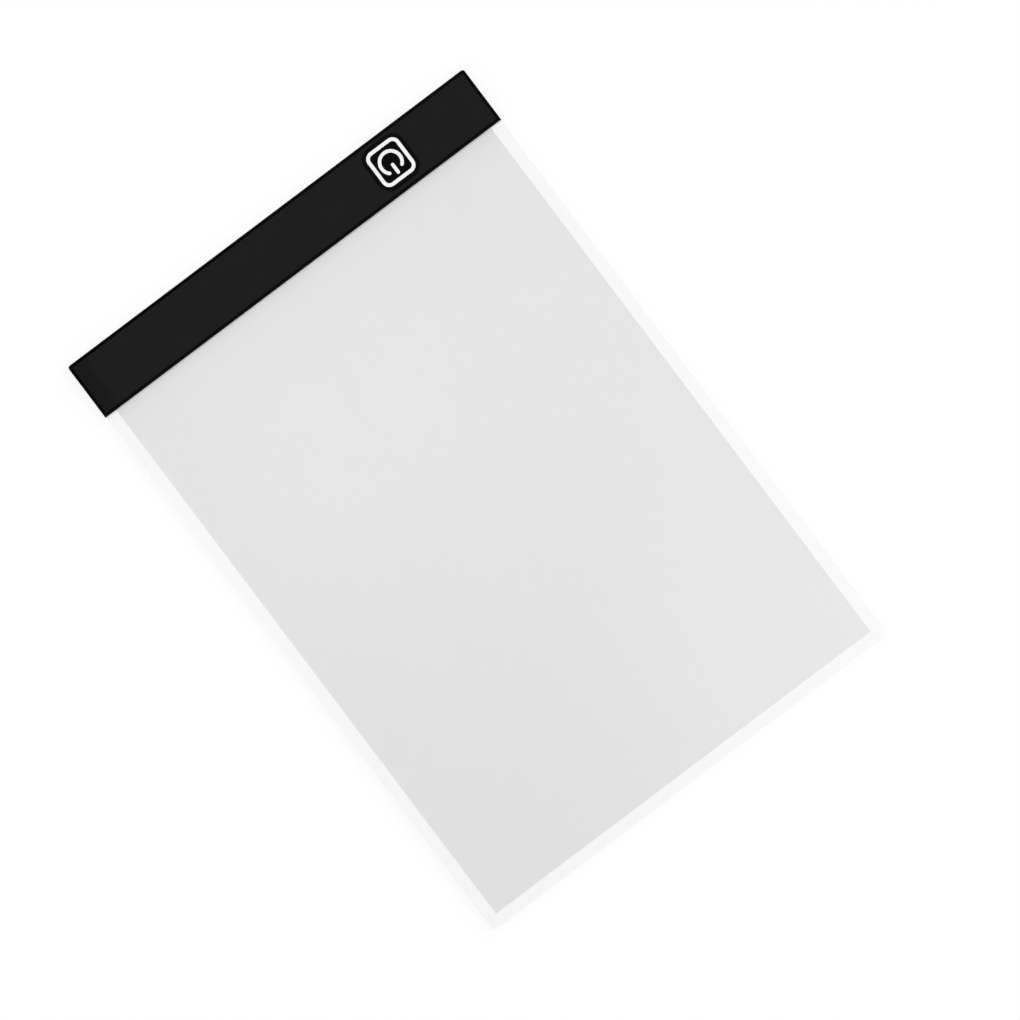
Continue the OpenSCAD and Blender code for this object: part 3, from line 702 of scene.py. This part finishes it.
class Work:
    """A mesh in the making, with a layer that marks worn edges."""

    def __init__(self, source: bpy.types.Mesh | None = None) -> None:
        """Start empty, or with a copy of a mesh."""
        self.mesh = bmesh.new()
        if source:
            self.mesh.from_mesh(source)
        self.mesh.verts.layers.float.new(WEAR)

    @classmethod
    def of(cls, node: Object) -> "Work":
        """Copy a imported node's mesh, with its loose triangles joined and its flat faces made whole."""
        work = cls(node.data)
        mesh = work.mesh
        bmesh.ops.remove_doubles(mesh, verts=mesh.verts, dist=JOIN)
        geom = {"verts": mesh.verts, "edges": mesh.edges}
        bmesh.ops.dissolve_limit(mesh, angle_limit=FLAT, delimit={"NORMAL"}, **geom)
        return work

    @classmethod
    def turned(cls, profile: Sequence[Pair], steps: int) -> "Work":
        """Turn a profile round the upright axis.

        Args:
            profile: radius and height of each point, in millimetres.
            steps: segments round the axis.

        Returns:
            The working mesh.
        """
        work = cls()
        mesh = work.mesh
        verts = [mesh.verts.new((r * MM, 0.0, z * MM)) for r, z in profile]
        edges = [mesh.edges.new(pair) for pair in zip(verts, verts[1:])]
        axis, centre = (0, 0, 1), (0, 0, 0)
        bmesh.ops.spin(mesh, geom=verts + edges, axis=axis, cent=centre, angle=2 * math.pi, steps=steps)
        bmesh.ops.remove_doubles(mesh, verts=mesh.verts, dist=JOIN)
        work.face_outwards()
        return work

    def face_outwards(self) -> None:
        """Turn all faces outwards."""
        bmesh.ops.recalc_face_normals(self.mesh, faces=self.mesh.faces)

    def loop(self, plan: Sequence[Pair], z: float, share: float = 1.0) -> list[bmesh.types.BMVert]:
        """Add the points of an outline at one height, as large as a plan in millimetres or a share of it."""
        return [self.mesh.verts.new((share * x * MM, share * y * MM, z * MM)) for x, y in plan]

    def outer_edges(self, sides: Sequence[Side]) -> list[bmesh.types.BMEdge]:
        """Give the sharp outer edges that lie along some sides of the mesh's box."""
        spans = [[f(v.co[i] for v in self.mesh.verts) for f in (min, max)] for i in range(3)]
        walls = [(axis, spans[axis][high]) for axis, high in (s.value for s in sides)]
        found = []
        for edge in self.mesh.edges:
            if len(edge.link_faces) != 2 or edge.calc_face_angle_signed(0.0) < SHARP:
                continue
            if any(all(abs(v.co[i] - wall) < EDGE_REACH * MM for v in edge.verts) for i, wall in walls):
                found.append(edge)
        return found

    def soften(self, sides: Sequence[Side], width: float, steps: int = 2) -> None:
        """Round the outer edges along some sides, and mark the middle of each rounding as worn.

        Args:
            sides: sides of the mesh's box.
            width: width of the rounding on each face, in millimetres.
            steps: segments across the rounding.
        """
        made = bmesh.ops.bevel(self.mesh, geom=self.outer_edges(sides), offset=width * MM, segments=steps,
                               offset_type="OFFSET", profile=0.5, affect="EDGES", clamp_overlap=True)
        strips = set(made["faces"])
        layer = self.mesh.verts.layers.float[WEAR]
        for vert in made["verts"]:
            if vert.is_valid and all(f in strips for f in vert.link_faces):
                vert[layer] = 1.0

    def slab(self, outline: Sequence[Pair], low: float, high: float, hole: Sequence[Pair] = ()) -> None:
        """Add a flat solid with upright sides.

        Args:
            outline: points of its outline, in millimetres, anticlockwise.
            low: height of its underside.
            high: height of its top.
            hole: points of a hole, as many as the outline has, or none.
        """
        new_face = self.mesh.faces.new
        under, over = self.loop(outline, low), self.loop(outline, high)
        inner_under, inner_over = self.loop(hole, low), self.loop(hole, high)
        steps = round_steps(len(outline))
        for i, j in steps:
            new_face((under[i], under[j], over[j], over[i]))
        if not hole:
            new_face(over)
            new_face(list(reversed(under)))
            return
        for i, j in steps:
            new_face((inner_under[j], inner_under[i], inner_over[i], inner_over[j]))
            new_face((over[i], over[j], inner_over[j], inner_over[i]))
            new_face((under[j], under[i], inner_under[i], inner_under[j]))

    def piece(self, name: str, weighted: bool = True) -> Object:
        """Turn the working mesh, which is freed, into an object with smooth roundings and crisp corners.

        Args:
            name: name of the object.
            weighted: whether large faces keep their flat shading beside small ones.

        Returns:
            The object, at the origin.
        """
        mesh = bpy.data.meshes.new(name)
        self.mesh.to_mesh(mesh)
        self.mesh.free()
        mesh.shade_smooth()
        mesh.set_sharp_from_angle(angle=SHARP)
        made = show(name, mesh)
        if weighted:
            keep_flat(made)
        return made


def keep_flat(made: Object) -> None:
    """Let large faces keep their flat shading beside small ones."""
    made.modifiers.new("flat_faces", "WEIGHTED_NORMAL").keep_sharp = True


@dataclass(frozen=True)
class Places:
    """Where the copies of a repeated part go, in millimetres."""

    first: Triple
    columns: int
    column_step: Triple
    rows: int = 1
    row_step: Triple = (0.0, 0.0, 0.0)


class PartArray:
    """A Geometry Nodes tree that sets copies of one part in columns and rows."""

    TAKES = {
        "Part": "NodeSocketObject",
        "Columns": "NodeSocketInt",
        "Column Step": VECTOR,
        "Rows": "NodeSocketInt",
        "Row Step": VECTOR,
        "First Place": VECTOR,
        "Finish": "NodeSocketMaterial",
    }

    def __init__(self) -> None:
        """Build the tree, with a named input for each size."""
        self.tree = bpy.data.node_groups.new("part_array", "GeometryNodeTree")
        face = self.tree.interface
        face.new_socket(name="Geometry", in_out="INPUT", socket_type="NodeSocketGeometry")
        self.keys = {}
        for label, kind in self.TAKES.items():
            self.keys[label] = face.new_socket(name=label, in_out="INPUT", socket_type=kind).identifier
        face.new_socket(name="Geometry", in_out="OUTPUT", socket_type="NodeSocketGeometry")
        bench = NodeBench(self.tree)
        given = bench.add("NodeGroupInput").outputs
        feeds = {"Count": given["Columns"], "Offset": given["Column Step"]}
        feeds |= {"Start Location": given["First Place"]}
        columns = bench.add("GeometryNodeMeshLine", feeds, mode="OFFSET")
        feeds = {"Count": given["Rows"], "Offset": given["Row Step"]}
        rows = bench.add("GeometryNodeMeshLine", feeds, mode="OFFSET")
        part = bench.add("GeometryNodeObjectInfo", {"Object": given["Part"]})
        points = self.copies(bench, columns.outputs[0], rows.outputs[0])
        solid = self.copies(bench, points, part.outputs["Geometry"])
        dressed = bench.add("GeometryNodeSetMaterial", {"Geometry": solid, "Material": given["Finish"]})
        bench.add("NodeGroupOutput", {0: dressed.outputs[0]})

    @staticmethod
    def copies(bench: NodeBench, points: NodeSocket, part: NodeSocket) -> NodeSocket:
        """Set copies of a part on points and give their plain geometry."""
        grid = bench.add("GeometryNodeInstanceOnPoints", {"Points": points, "Instance": part})
        return bench.add("GeometryNodeRealizeInstances", {0: grid.outputs[0]}).outputs[0]

    def make(self, name: str, work: Work, places: Places, finish: Material) -> Object:
        """Set copies of a part and turn them into one plain mesh.

        Args:
            name: name of the finished object.
            work: working mesh of one part, round its own origin; it is freed.
            places: where the copies go.
            finish: material of the copies.

        Returns:
            The finished object.
        """
        part = work.piece(name + "_one", weighted=False)
        made = show(name, bpy.data.meshes.new(name))
        modifier = made.modifiers.new("copies", "NODES")
        modifier.node_group = self.tree
        steps = {"Column Step": places.column_step, "Row Step": places.row_step, "First Place": places.first}
        values = {label: [v * MM for v in step] for label, step in steps.items()}
        values |= {"Part": part, "Columns": places.columns, "Rows": places.rows, "Finish": finish}
        for label, value in values.items():
            modifier[self.keys[label]] = value
        graph = bpy.context.evaluated_depsgraph_get()
        mesh = bpy.data.meshes.new_from_object(made.evaluated_get(graph), depsgraph=graph)
        made.modifiers.remove(modifier)
        made.data = mesh
        bpy.data.objects.remove(part)
        keep_flat(made)
        return made


@dataclass
class Site:
    """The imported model, the finished materials and the shared array tree."""

    nodes: dict[str, Object]
    slots: dict[str, str]
    materials: dict[str, Material]
    ink: Material
    phosphor: Material
    rim: Material
    arrays: PartArray

    def box(self, node: str) -> tuple[Vector, Vector]:
        """Give a node's lowest and highest corners, in millimetres."""
        low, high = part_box(node)
        return low / MM, high / MM

    def dress(self, *nodes: str) -> None:
        """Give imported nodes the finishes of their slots."""
        for node in nodes:
            for slot in self.nodes[node].material_slots:
                slot.material = self.materials[self.slots[node]]
            LOG.info("%s: packed solid, %s", node, self.slots[node])

    def settle(self, made: Object, body: Body, slot: str, stands_for: Sequence[str] = (),
               finish: Material | None = None) -> None:
        """Dress a finished piece and hang it on its body.

        Args:
            made: the piece.
            body: body that it rides on.
            slot: the record's material slot that it belongs to.
            stands_for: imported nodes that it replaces.
            finish: its material, if that isn't the slot's own.
        """
        made.data.materials.clear()
        made.data.materials.append(finish or self.materials[slot])
        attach(made, body.value)
        if stands_for:
            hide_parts(*stands_for)
        LOG.info("%s: on %s, %s, %d faces", made.name, body.value, slot, len(made.data.polygons))


@dataclass
class SubAssembly:
    """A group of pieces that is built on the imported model."""

    site: Site

    def build(self) -> None:
        """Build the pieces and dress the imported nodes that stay."""
        raise NotImplementedError

    def soft_piece(self, node: str, name: str, sides: Sequence[Side], edge: float,
                   draw: Pair = (0.0, 0.0), body: Body = Body.PAD, steps: int = 2) -> None:
        """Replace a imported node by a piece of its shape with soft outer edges.

        Args:
            node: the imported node.
            name: name of the piece.
            sides: sides of its box whose outer edges are rounded.
            edge: width of the rounding, in millimetres.
            draw: how far its underside and its top are drawn in, in millimetres.
            body: body that it rides on.
            steps: segments across the rounding.
        """
        low, high = self.site.box(node)
        work = Work.of(self.site.nodes[node])
        for vert in work.mesh.verts:
            if vert.co.z < (low.z + draw[0]) * MM:
                vert.co.z += draw[0] * MM
            elif vert.co.z > (high.z - draw[1]) * MM:
                vert.co.z -= draw[1] * MM
        work.soften(sides, edge, steps)
        self.site.settle(work.piece(name), body, self.site.slots[node], (node,))

    def repeat(self, name: str, work: Work, places: Places, slot: str, stands_for: Sequence[str] = (),
               finish: Material | None = None) -> None:
        """Set copies of a part as one piece on the pad.

        Args:
            name: name of the piece.
            work: working mesh of one part.
            places: where the copies go.
            slot: the record's material slot that the piece belongs to.
            stands_for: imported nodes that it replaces.
            finish: its material, if that isn't the slot's own.
        """
        made = self.site.arrays.make(name, work, places, finish or self.site.materials[slot])
        self.site.settle(made, Body.PAD, slot, stands_for, finish)


@dataclass
class PanelStack(SubAssembly):
    """The edge-lit panel: back plate, films, light guide, border tapes and clear front sheet.

    Attributes:
        film_gap: how far the clear plates stand off the films, so that these show through them cleanly.
    """

    film_gap: float = 0.02
    plate_edge: float = 0.2
    sheet_edge: float = 0.06
    guide_edge: float = 0.12
    free_sides: Sequence[Side] = (Side.LEFT, Side.RIGHT, Side.FAR)
    films: Sequence[str] = ("rear_border_tape", "reflector_film", "diffuser_film", "front_border_tape",
                            "light_seal")

    def build(self) -> None:
        """Build the plates and dress the films."""
        gap = self.film_gap
        self.soft_piece("back_plate", "white_back", (Side.UNDER,), self.plate_edge)
        self.soft_piece("front_panel", "clear_sheet", self.free_sides, self.sheet_edge, (gap, 0.0))
        self.soft_piece("light_guide", "guide_plate", self.free_sides, self.guide_edge, (gap, gap))
        self.site.dress(*self.films)


@dataclass
class BarHousing(SubAssembly):
    """The black bar: two moulded covers held by countersunk screws, on rubber feet with the panel.

    Attributes:
        frame_w: width of the smooth frame round the top's textured field, whose darker black is painted shade
            along the bar's edges.
        frame_reach: how far the frame lies from the bar's outline at most.
        foot_sole: how far each point of a foot's dished sole lies inside its radius, and its height.
        foot_rim: rounding of a foot's lower rim.
        screw_rim: how far each point of a screw head's rim lies inside its radius, and its height.
        thread: pitch and depth of the thread.
        ridge: where the thread's root and crest lie, as shares of the pitch.
        drive: length, width and depth of the cross recess.
        drive_taper: size of the recess at its bottom against its mouth.
    """

    cover_edge: float = 0.16
    floor_edge: float = 0.14
    frame_w: float = 1.0
    frame_reach: float = 2.0
    foot_r: float = 5.0
    foot_sole: Sequence[Pair] = ((1.7, 0.14), (1.4, 0.05), (1.1, 0.0), (0.5, 0.0))
    foot_rim: float = 0.42
    foot_rim_steps: int = 6
    foot_steps: int = 48
    screw_count: int = 4
    screw_sides: int = 40
    screw_head_r: float = 1.5
    screw_rim: Sequence[Pair] = ((0.12, 0.0), (0.05, 0.02), (0.07, 0.07))
    screw_shank_r: float = 0.85
    screw_l: float = 3.6
    screw_tip: float = 0.6
    thread: Pair = (0.4, 0.13)
    ridge: Pair = (0.4, 0.8)
    drive: Triple = (1.8, 0.4, 0.35)
    drive_taper: float = 0.75

    def build(self) -> None:
        """Build the covers, the screws and the feet."""
        self.build_top()
        self.soft_piece("bar_rear_cover", "bar_floor", tuple(Side), self.floor_edge)
        self.build_screws()
        self.build_feet()

    def build_top(self) -> None:
        """Build the upper cover, with a smooth frame along its textured top's outline, whose deeper black is
        painted shade along the bar's edges.
        """
        low, high = self.site.box("bar_front_cover")
        top = high.z * MM
        work = Work.of(self.site.nodes["bar_front_cover"])
        work.soften(tuple(Side), self.cover_edge)
        field = [f for f in work.mesh.faces if all(abs(v.co.z - top) < JOIN for v in f.verts)]
        bmesh.ops.inset_region(work.mesh, faces=field, thickness=self.frame_w * MM, use_even_offset=True)
        for vert in work.mesh.verts:
            vert.co.z = min(vert.co.z, top)
        cover = work.piece("bar_top")
        self.site.settle(cover, Body.PAD, "black_shell", ("bar_front_cover",))
        # The frame's second material paints shade along the bar's edges.
        cover.data.materials.append(self.site.rim)
        for face in cover.data.polygons:
            spot = face.center / MM
            away = min(spot.x - low.x, high.x - spot.x, spot.y - low.y, high.y - spot.y)
            if face.normal.z > LEVEL and abs(spot.z - high.z) < JOIN / MM and away < self.frame_reach:
                face.material_index = 1

    def build_screws(self) -> None:
        """Build the row of screws in the bar's floor."""
        low, high = self.site.box("cover_screws")
        r = self.screw_head_r
        step = (high.x - low.x - 2 * r) / (self.screw_count - 1)
        places = Places((low.x + r, low.y + r, low.z), self.screw_count, (step, 0.0, 0.0))
        self.repeat("zinc_screws", self.screw(), places, "screw", ("cover_screws",))

    def screw(self) -> Work:
        """Give one countersunk screw that stands on its head: soft rim, cross recess and threaded shank."""
        head, shank = self.screw_head_r, self.screw_shank_r
        pitch, depth = self.thread
        root, crest = (share * pitch for share in self.ridge)
        cone, shoulder = head - shank, self.screw_l - self.screw_tip
        rim = [(head - inset, z) for inset, z in self.screw_rim]
        turns = int((shoulder - cone) / pitch)
        starts = [shoulder - (turns - i) * pitch for i in range(turns)]
        ridges = [point for z in starts for point in ((shank - depth, z + root), (shank, z + crest))]
        profile = [*rim, (shank, cone), *ridges, (shank, shoulder), (0.0, self.screw_l)]
        work = Work.turned(profile, self.screw_sides)
        self.close_head(work)
        return work

    def close_head(self, work: Work) -> None:
        """Close a screw's open head with a face that has a tapered cross recess.

        Args:
            work: working mesh of the screw.
        """
        mesh = work.mesh
        l, w, depth = self.drive[0] / 2, self.drive[1] / 2, self.drive[2]
        arm = ((l, -w), (l, w), (w, w))
        plan = list(arm)
        for _ in range(3):
            arm = tuple((-y, x) for x, y in arm)
            plan += arm
        rim = [e for e in mesh.edges if e.is_boundary]
        mouth, bottom = work.loop(plan, 0.0), work.loop(plan, depth, self.drive_taper)
        steps = round_steps(len(plan))
        edges = [mesh.edges.new((mouth[i], mouth[j])) for i, j in steps]
        bmesh.ops.triangle_fill(mesh, use_beauty=True, edges=rim + edges)
        for i, j in steps:
            mesh.faces.new((mouth[i], mouth[j], bottom[j], bottom[i]))
        mesh.faces.new(bottom)
        work.face_outwards()

    def build_feet(self) -> None:
        """Build the four feet: turned discs with a rounded rim and a dished sole."""
        low, high = self.site.box("rubber_feet")
        r, round_r, top = self.foot_r, self.foot_rim, high.z
        sole = [(0.0, self.foot_sole[0][1]), *((r - inset, z) for inset, z in self.foot_sole)]
        rim = arc((r - round_r, round_r), round_r, -90.0, 0.0, self.foot_rim_steps)
        work = Work.turned([*sole, *rim, (r, top), (0.0, top)], self.foot_steps)
        across, along = high.x - low.x - 2 * r, high.y - low.y - 2 * r
        centre = (low + high) / 2
        first = (centre.x - across / 2, centre.y - along / 2, 0.0)
        places = Places(first, 2, (across, 0.0, 0.0), 2, (0.0, along, 0.0))
        self.repeat("moulded_feet", work, places, "foot", ("rubber_feet",))


@dataclass
class PowerKey(SubAssembly):
    """The push key with its printed power sign, and the plunger of the switch under it.

    The sign is a broken ring with a stroke through its opening, inside a square outline with round corners.

    Attributes:
        print_t: how far the print stands out of the key, with print_root its whole thickness.
        outline: size along X and Y and corner radius of the outline.
        ring_open: half of the ring's opening, in degrees.
        stroke: where the stroke begins and ends, from the ring's centre.
    """

    key_edge: float = 0.3
    key_steps: int = 4
    print_t: float = 0.02
    print_root: float = 0.03
    outline: Triple = (18.6, 19.5, 4.0)
    outline_line: float = 1.76
    ring_r: float = 5.37
    ring_line: float = 1.66
    ring_open: float = 43.0
    ring_steps: int = 72
    stroke: Pair = (0.6, 6.7)
    corner_steps: int = 12

    def build(self) -> None:
        """Build the key and its sign, and dress the plunger."""
        low, high = self.site.box("power_key")
        draw = (0.0, self.print_t)
        self.soft_piece("power_key", "key_cap", (Side.TOP,), self.key_edge, draw, Body.KEY, self.key_steps)
        self.build_sign(((low.x + high.x) / 2, (low.y + high.y) / 2), high.z)
        self.site.dress("switch_plunger")

    def build_sign(self, centre: Pair, top: float) -> None:
        """Build the printed sign as a thin layer on the key.

        Args:
            centre: middle of the key.
            top: height of the print's face.
        """
        bottom = top - self.print_root
        width, length, radius = self.outline
        cut, steps = self.outline_line, self.corner_steps
        outer = round_plan(centre, (width, length), radius, steps)
        inner = round_plan(centre, (width - 2 * cut, length - 2 * cut), radius - cut, steps)
        work = Work()
        work.slab(outer, bottom, top, inner)
        work.slab(self.broken_ring(centre), bottom, top)
        work.slab(self.bar_stroke(centre), bottom, top)
        sign = work.piece("power_sign", weighted=False)
        self.site.settle(sign, Body.KEY, "black_key", finish=self.site.ink)

    def broken_ring(self, centre: Pair) -> list[Pair]:
        """Give the outline of the ring, open towards the panel, with round ends."""
        r, half, steps = self.ring_r, self.ring_line / 2, self.corner_steps
        first, last = self.ring_open - 90.0, 270.0 - self.ring_open
        ends = [arc(centre, r, a, a, 1)[0] for a in (first, last)]
        outside = arc(centre, r + half, first, last, self.ring_steps)
        far_cap = arc(ends[1], half, last, last + 180.0, steps)
        inside = arc(centre, r - half, last, first, self.ring_steps)
        near_cap = arc(ends[0], half, first + 180.0, first + 360.0, steps)
        return outside[:-1] + far_cap[:-1] + inside[:-1] + near_cap[:-1]

    def bar_stroke(self, centre: Pair) -> list[Pair]:
        """Give the outline of the stroke, with round ends."""
        half, steps = self.ring_line / 2, self.corner_steps
        upper = (centre[0], centre[1] - self.stroke[0] - half)
        lower = (centre[0], centre[1] - self.stroke[1] + half)
        return arc(upper, half, 0.0, 180.0, steps) + arc(lower, half, 180.0, 360.0, steps)


@dataclass
class ControlBoard(SubAssembly):
    """The board in the bar with its driver, small parts, switch and the leads to the light strip."""

    nodes: Sequence[str] = ("control_board", "driver_chip", "board_passives", "switch_body", "led_lead_red",
                            "led_lead_black")

    def build(self) -> None:
        """Dress the board and what is on it."""
        self.site.dress(*self.nodes)


@dataclass
class LightStrip(SubAssembly):
    """The strip of light packages that faces the light guide's edge.

    Attributes:
        size: sizes of a package along X, Y and Z.
        rim: width of a package's rim.
        frame_steps: how far each rectangle of a package lies inside its outline, in rims, and its depth.
        fill_steps: the same for the phosphor in its pocket.
    """

    size: Triple = (4.0, 0.75, 1.4)
    rim: float = 0.2
    frame_steps: Sequence[Pair] = ((0.0, 0.75), (0.0, 0.0), (1.0, 0.0), (1.5, 0.3))
    fill_steps: Sequence[Pair] = ((1.55, 0.28), (1.2, 0.12), (2.2, 0.08))
    count: int = 37
    pitch: float = 6.0

    def build(self) -> None:
        """Build the packages with their phosphor, and dress the strip's board."""
        low, high = self.site.box("led_packages")
        first = (low.x + self.size[0] / 2, low.y, (low.z + high.z) / 2)
        places = Places(first, self.count, (self.pitch, 0.0, 0.0))
        frame, fill = self.stepped(self.frame_steps), self.stepped(self.fill_steps)
        self.repeat("light_packages", frame, places, "led", ("led_packages",))
        self.repeat("light_phosphor", fill, places, "led", finish=self.site.phosphor)
        self.site.dress("led_board")

    def stepped(self, steps: Sequence[Pair]) -> Work:
        """Join rectangles that stand one after another along Y, and close both ends.

        Args:
            steps: how far each rectangle lies inside the package's outline, in rims, and its depth.

        Returns:
            The working mesh.
        """
        work = Work()
        rings = []
        for inset, y in steps:
            x, z = (size / 2 - inset * self.rim for size in (self.size[0], self.size[2]))
            corners = ((-x, -z), (x, -z), (x, z), (-x, z))
            rings.append([work.mesh.verts.new((a * MM, y * MM, b * MM)) for a, b in corners])
        for one, two in zip(rings, rings[1:]):
            for i, j in round_steps(4):
                work.mesh.faces.new((one[i], one[j], two[j], two[i]))
        work.mesh.faces.new(rings[0])
        work.mesh.faces.new(list(reversed(rings[-1])))
        work.face_outwards()
        return work


@dataclass
class PowerSocket(SubAssembly):
    """The power socket in the bar's end: folded shell, tongue and contacts."""

    shell_edge: float = 0.08
    contact_count: int = 5
    contact_pitch: float = 0.65
    tip_steps: int = 8

    def build(self) -> None:
        """Build the shell and the contacts, and dress the tongue."""
        self.soft_piece("socket_shell", "socket_can", (Side.RIGHT,), self.shell_edge)
        self.build_contacts()
        self.site.dress("socket_tongue")

    def build_contacts(self) -> None:
        """Build the row of contacts: thin strips with rounded tips."""
        low, high = self.site.box("socket_contacts")
        half = (high.y - low.y - (self.contact_count - 1) * self.contact_pitch) / 2
        tip = arc((high.x - low.x - half, 0.0), half, -90.0, 90.0, self.tip_steps)
        work = Work()
        work.slab([(0.0, half), (0.0, -half), *tip], 0.0, high.z - low.z)
        places = Places((low.x, low.y + half, low.z), self.contact_count, (0.0, self.contact_pitch, 0.0))
        self.repeat("socket_pins", work, places, "contact", ("socket_contacts",))


@dataclass(frozen=True)
class Sun:
    """A broad, soft lamp far away.

    Attributes:
        bearing: direction that it shines from, in degrees from +X towards +Y.
        height: its height above the horizon, in degrees.
        share: brightness that it gives a white face that looks straight up.
        spread: how broad it is seen from the pad, in degrees.
        distance: how far away it is drawn, in metres.
    """

    name: str
    bearing: float
    height: float
    share: float
    spread: float
    distance: float = 3.0

    def build(self) -> None:
        """Build the lamp."""
        a, e = math.radians(self.bearing), math.radians(self.height)
        data = bpy.data.lights.new(self.name, "SUN")
        data.energy = self.share * math.pi / math.sin(e)
        data.angle = math.radians(self.spread)
        lamp = show(self.name, data)
        source = Vector((math.cos(a) * math.cos(e), math.sin(a) * math.cos(e), math.sin(e)))
        lamp.rotation_mode = "QUATERNION"
        lamp.rotation_quaternion = source.to_track_quat("Z", "Y")
        lamp.location = source * self.distance


@dataclass(frozen=True)
class SoftBox:
    """A weak lamp close above the pad, which makes one part of it a little brighter.

    Attributes:
        place: its place, in metres.
        size: side of its square face, in metres.
        power: its power, in watts.
    """

    name: str
    place: Triple
    size: float
    power: float

    def build(self) -> None:
        """Build the lamp, facing down and out of the camera's sight."""
        data = bpy.data.lights.new(self.name, "AREA")
        data.size = self.size
        data.energy = self.power
        lamp = show(self.name, data)
        lamp.location = self.place
        lamp.visible_camera = False
        lamp.visible_glossy = False


@dataclass
class Studio:
    """The photograph's view and light: a white sweep under soft light, seen from straight above.

    Attributes:
        face: height of the panel's face, in millimetres.
        turn: how far the view is turned against the pad, in degrees.
        aim: point under the middle of the picture, in millimetres.
        picture_w: width of what the picture shows at the panel's face, in millimetres.
        sight: how far the camera sees, in metres.
        sweep: radius of the floor, radius of the bend and height of the wall, in metres.
        sweep_steps: segments across the bend and round the sweep.
        paper: brightness of the sweep's own colour, share of it that the camera sees as plain white, and how
            bright that white is.
        sky: brightness of the open sky above the sweep.
    """

    face: float
    turn: float = 37.01
    aim: Pair = (9.35, -12.85)
    picture_w: float = 483.6
    lens: float = 200.0
    sensor: float = 36.0
    sight: float = 50.0
    sweep: Triple = (6.0, 0.8, 1.6)
    sweep_steps: tuple[int, int] = (12, 64)
    paper: Triple = (0.92, 0.85, 1.02)
    sky: float = 0.43
    lamps: Sequence[Sun | SoftBox] = (
        Sun("key_sun", 20.0, 48.0, 0.3, 60.0),
        Sun("fill_sun", 200.0, 52.0, 0.21, 70.0),
        SoftBox("side_lamp", (0.5, -0.2, 0.444), 0.2, 0.42),
        SoftBox("middle_lamp", (-0.054, 0.065, 0.15), 0.1, 0.0127),
    )

    def build(self) -> None:
        """Build the camera, the world, the sweep and the lamps."""
        bpy.context.scene.view_settings.view_transform = "Standard"
        self.build_camera()
        self.build_world()
        self.build_sweep()
        for lamp in self.lamps:
            lamp.build()

    def build_camera(self) -> None:
        """Build the camera straight above the pad."""
        data = bpy.data.cameras.new("straight_down")
        data.lens = self.lens
        data.sensor_width = self.sensor
        data.clip_end = self.sight
        camera = show("straight_down", data)
        height = self.picture_w * self.lens / self.sensor + self.face
        camera.location = (self.aim[0] * MM, self.aim[1] * MM, height * MM)
        camera.rotation_euler = (0.0, 0.0, math.radians(-self.turn))
        bpy.context.scene.camera = camera

    def build_world(self) -> None:
        """Build a dim, even sky."""
        world = bpy.data.worlds.new("dim_sky")
        world.use_nodes = True
        shade = next(n for n in world.node_tree.nodes if n.type == "BACKGROUND")
        NodeBench(world.node_tree).feed(shade, {"Color": WHITE, "Strength": self.sky})
        bpy.context.scene.world = world

    def build_sweep(self) -> None:
        """Build the white floor with a wall that rises from it in a bend."""
        radius, bend, wall = (size / MM for size in self.sweep)
        curve = arc((radius - bend, bend), bend, -90.0, 0.0, self.sweep_steps[0])
        work = Work.turned([(0.0, 0.0), *curve, (radius, wall)], self.sweep_steps[1]).mesh
        for face in work.faces:
            face.smooth = True
            if face.normal.z < 0 or face.normal.dot(face.calc_center_median()) > 0:
                face.normal_flip()
        mesh = bpy.data.meshes.new("white_sweep")
        work.to_mesh(mesh)
        work.free()
        mesh.materials.append(self.sweep_paper())
        show("white_sweep", mesh)

    def sweep_paper(self) -> Material:
        """Build the sweep's material: matte white that shows as white, with only a faint shadow on it.

        Returns:
            The material.
        """
        tone, share, strength = self.paper
        material = bpy.data.materials.new("white_sweep")
        material.use_nodes = True
        material.node_tree.nodes.clear()
        bench = NodeBench(material.node_tree)
        rays = bench.add("ShaderNodeLightPath").outputs
        mirrored = bench.maths("MAXIMUM", rays["Is Glossy Ray"], rays["Is Transmission Ray"])
        seen = bench.maths("MAXIMUM", rays["Is Camera Ray"], mirrored)
        matte = bench.add("ShaderNodeBsdfDiffuse", {"Color": (tone, tone, tone, 1.0)})
        white = bench.add("ShaderNodeEmission", {"Color": WHITE, "Strength": strength})
        mixed = bench.blend(bench.maths("MULTIPLY", seen, share), matte.outputs[0], white.outputs[0])
        bench.add("ShaderNodeOutputMaterial", {"Surface": mixed})
        return material


def prepare() -> Site:
    """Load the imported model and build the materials.

    Returns:
        The site that the sub-assemblies build on.
    """
    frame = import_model()
    effects = Effects()
    slots = {row["node"]: row["material_slot"] for row in frame["record"]["subparts"]}
    materials = {finish.slot: finish.build(effects) for finish in FINISHES}
    extra = [finish.build(effects) for finish in (INK, PHOSPHOR, PAINTED_SHADE_RIM)]
    return Site(frame["nodes"], slots, materials, *extra, PartArray())


def main() -> None:
    """Build the sub-assemblies in order, then the studio."""
    logging.basicConfig(level=logging.INFO, format="%(name)s: %(message)s")
    site = prepare()
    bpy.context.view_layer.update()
    for assembly in (PanelStack, BarHousing, PowerKey, ControlBoard, LightStrip, PowerSocket):
        assembly(site).build()
    Studio(site.box("front_panel")[1].z).build()


if __name__ == "__main__":
    main()
